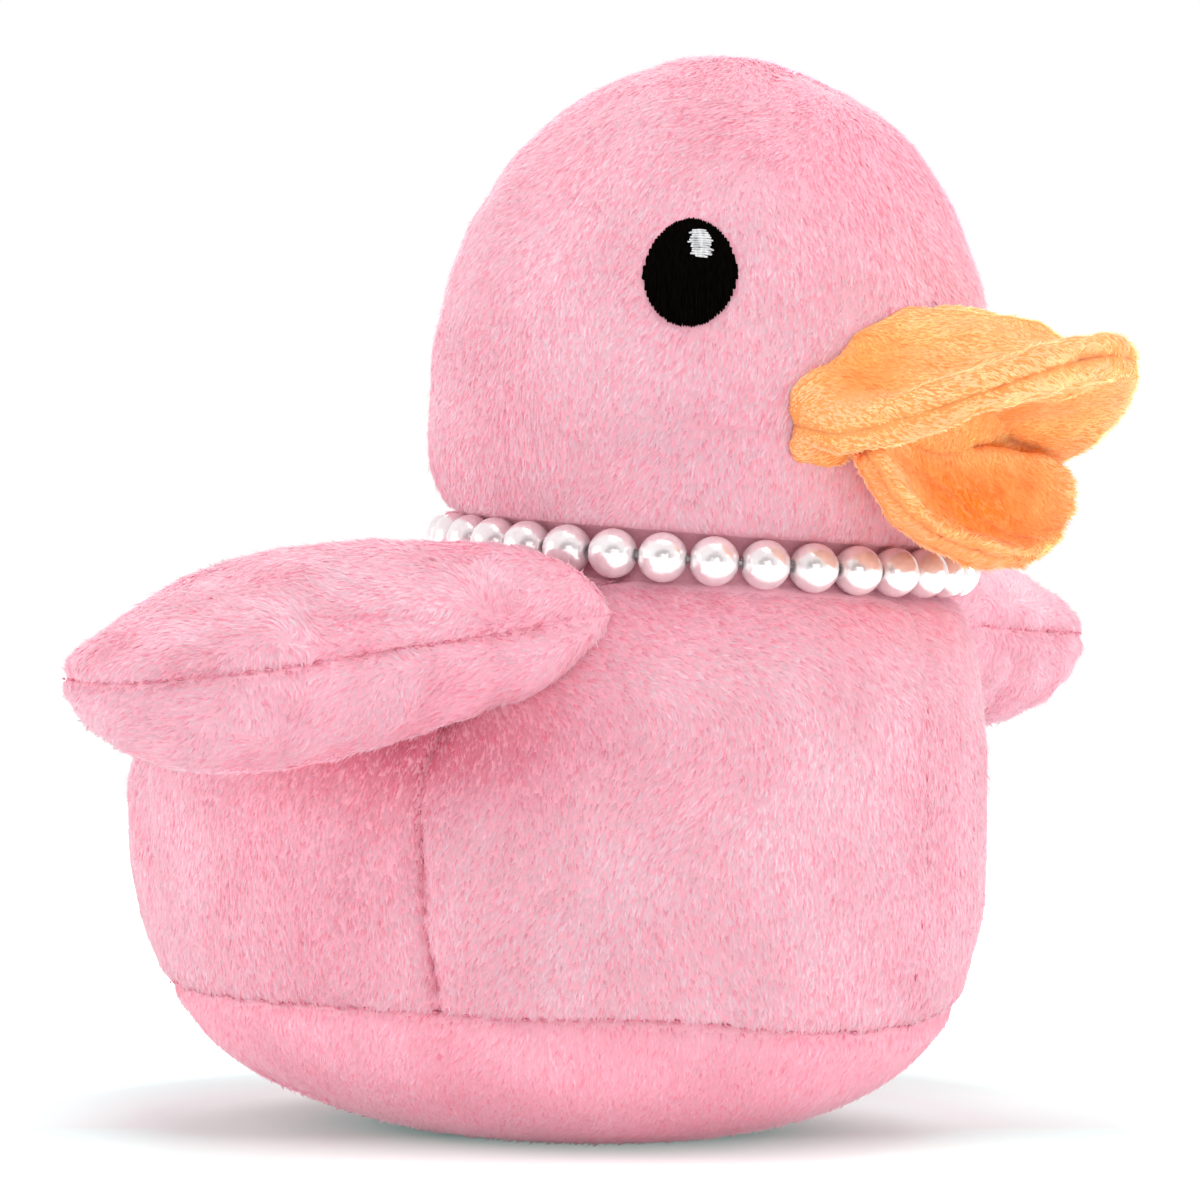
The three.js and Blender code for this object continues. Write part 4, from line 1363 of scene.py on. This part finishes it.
def makeFillings():
    phi = wholeTurn(97)
    rows = [bodyRing(h, phi) for h in np.linspace(*filling["body"])]
    rows += [grooveRing(turn, phi, -1) for turn in filling["grooveTurns"][::-1]]
    grid = inward(rows, body["inside"])
    grid[..., 2] = np.maximum(grid[..., 2], filling["floor"])
    fillingPiece("body_filling", grid)
    rows = [grooveRing(turn, phi, 1) for turn in filling["grooveTurns"]]
    rows += [headPoint(headRadius(h), phi, h) for h in np.linspace(*filling["head"])]
    fillingPiece("head_filling", inward(rows, head["inside"]))
    for side, lie in wingLie.items():
        pads = [wingGrid(lie, facing, filling["inset"], *filling["wingGrid"]) for facing in (1, -1)]
        grid = clearOfBody(bothPanels(*pads), filling["inset"])
        fillingPiece("wing_filling_" + side, grid, "wing_" + side, wingBend(lie))
    upper = bothPanels(*(upperBillGrid(facing, 2.0, *filling["billGrid"], root=4.5) for facing in (1, -1)))
    lower = bothPanels(*(lowerBillGrid(facing, 1.9, *filling["billGrid"], root=6) for facing in (1, -1)))
    fillingPiece("upper_bill_filling", clearOfFace(upper, 0.5))
    fillingPiece("lower_bill_filling", lower, "lower_bill")


makeFillings()
print("stage: fillings")

# Eyes: black satin stitches with a small white glint

glint = {
    "width": 3.5,
    "height": 4.1,
    "ahead": 1.75,
    "above": 4.15,
    "lift": 1.3,
    "dome": 0.2,
    "threads": 12,
    "samples": 9,
    "slant": (0.12, 0.1),
    "scatter": (0.13, 0.03, 0.05),
    "thread": (0.2, 0.2),
}


def addThread(bm, sign, turn, height, lift, width, thickness):
    flip = np.array([sign, 1, 1])
    line, outer = facePoint(turn, height, lift), facePoint(turn, height, lift + 1)
    line, normals = line * flip, unit(outer - line) * flip
    side = np.cross(unit(np.gradient(line, axis=0)), normals)
    taper = np.sin(np.linspace(0, np.pi, len(line))) ** 0.22
    taper[0] = taper[-1] = 0
    turns = wholeTurn(7)
    around = [side * math.cos(t) * width + normals * math.sin(t) * thickness for t in turns]
    gridInto(bm, np.stack([line + offset * taper[:, None] for offset in around], axis=1))


def sineSteps(ends, count):
    return np.interp(np.sin(np.linspace(-np.pi / 2, np.pi / 2, count)), [-1, 1], [-ends[0], ends[1]])


def stitchedEye(bm, sign):
    draw = np.random.default_rng(7)
    atEnds, aside, inLift = eye["scatter"]
    for across in np.linspace(-1, 1, eye["threads"]):
        up = sineSteps(math.sqrt(max(0.02, 1 - across**2)) + draw.normal(0, atEnds, 2), eye["samples"])
        place = across + draw.normal(0, aside, eye["samples"])
        turn = eye["aside"] + place * eye["width"] / 2 / head["radius"]
        height = eye["middle"] + up * eye["height"] / 2
        lift = eye["lift"] + eye["dome"] * (1 - np.minimum(1, place**2 + up**2)) + draw.normal(0, inLift)
        addThread(bm, sign, turn, height, lift, *eye["thread"])


def stitchedGlint(bm, sign):
    draw = np.random.default_rng(8)
    atEnds, across, inLift = glint["scatter"]
    lean, slope = glint["slant"]
    for up in np.linspace(-1, 1, glint["threads"]):
        ends = 0.78 + 0.22 * (1 - abs(up) ** 3) + draw.normal(0, atEnds, 2)
        place = sineSteps(ends, glint["samples"]) + lean * up
        turn = eye["aside"] + (place * glint["width"] / 2 - glint["ahead"]) / head["radius"]
        height = eye["middle"] + glint["above"] + up * glint["height"] / 2
        height = height + slope * place + draw.normal(0, across, glint["samples"])
        lift = glint["lift"] + glint["dome"] * (1 - place**2) + draw.normal(0, inLift)
        addThread(bm, sign, turn, height, lift, *glint["thread"])


def makeEyes():
    kinds = (
        ("eye", stitchedEye, blackThread, "black_thread"),
        ("eye_glint", stitchedGlint, whiteThread, "white_thread"),
    )
    for side, sign in (("left", 1), ("right", -1)):
        for name, embroider, material, slot in kinds:
            bm = bmesh.new()
            embroider(bm, sign)
            weld(bm)
            piece = pieceFrom(bm, f"{name}_{side}_stitches", material)
            finishPiece(piece, "duck", (f"{name}_{side}",))


makeEyes()
print("stage: eyes")

# Necklace: pearls on a clear elastic


def necklacePlace():
    return (Matrix.Translation((0, -neck["ahead"] * mm, neck["height"] * mm))
            @ Matrix.Rotation(neck["tilt"], 4, "X"))


def makeNecklace():
    radius, bore = ring["beadRadius"] * mm, ring["bore"] / 2 * mm
    start = math.asin(bore / radius)
    bm = bmesh.new()
    arc = [bm.verts.new((radius * math.cos(t), radius * math.sin(t), 0))
           for t in np.linspace(start, np.pi - start, 17)]
    edges = [bm.edges.new(pair) for pair in zip(arc, arc[1:])]
    edges.append(bm.edges.new((arc[-1], arc[0])))
    bmesh.ops.spin(bm, geom=arc + edges, cent=(0, 0, 0), axis=(1, 0, 0), angle=2 * np.pi, steps=32,
                   use_merge=True)
    weld(bm, 1e-7)
    onRing = Matrix.Translation((0, -ring["radius"] * mm, 0))
    for index in range(ring["beads"]):
        turn = Matrix.Rotation(ring["turn"] + 2 * np.pi * index / ring["beads"], 4, "Z")
        one = bm.copy()
        one.transform(necklacePlace() @ turn @ onRing @ Matrix.Rotation(index * ring["roll"], 4, "X"))
        name = f"bead_{index + 1:02d}"
        piece = pieceFrom(one, name + "_pearl", pearlLustre)
        finishPiece(piece, "necklace", (name,))
    bm.free()
    bm = bmesh.new()
    across = Matrix.Translation((ring["radius"] * mm, 0, 0)) @ Matrix.Rotation(np.pi / 2, 4, "X")
    circle = bmesh.ops.create_circle(bm, segments=8, radius=ring["cord"] * mm, matrix=across)["verts"]
    bmesh.ops.spin(bm, geom=circle + list(bm.edges), cent=(0, 0, 0), axis=(0, 0, 1), angle=2 * np.pi,
                   steps=128, use_merge=True)
    bmesh.ops.recalc_face_normals(bm, faces=bm.faces)
    bm.transform(necklacePlace())
    elastic = pieceFrom(bm, "necklace_elastic", clearElastic)
    finishPiece(elastic, "necklace", ("necklace_cord",))


makeNecklace()
print("stage: necklace")

bpy.context.view_layer.update()
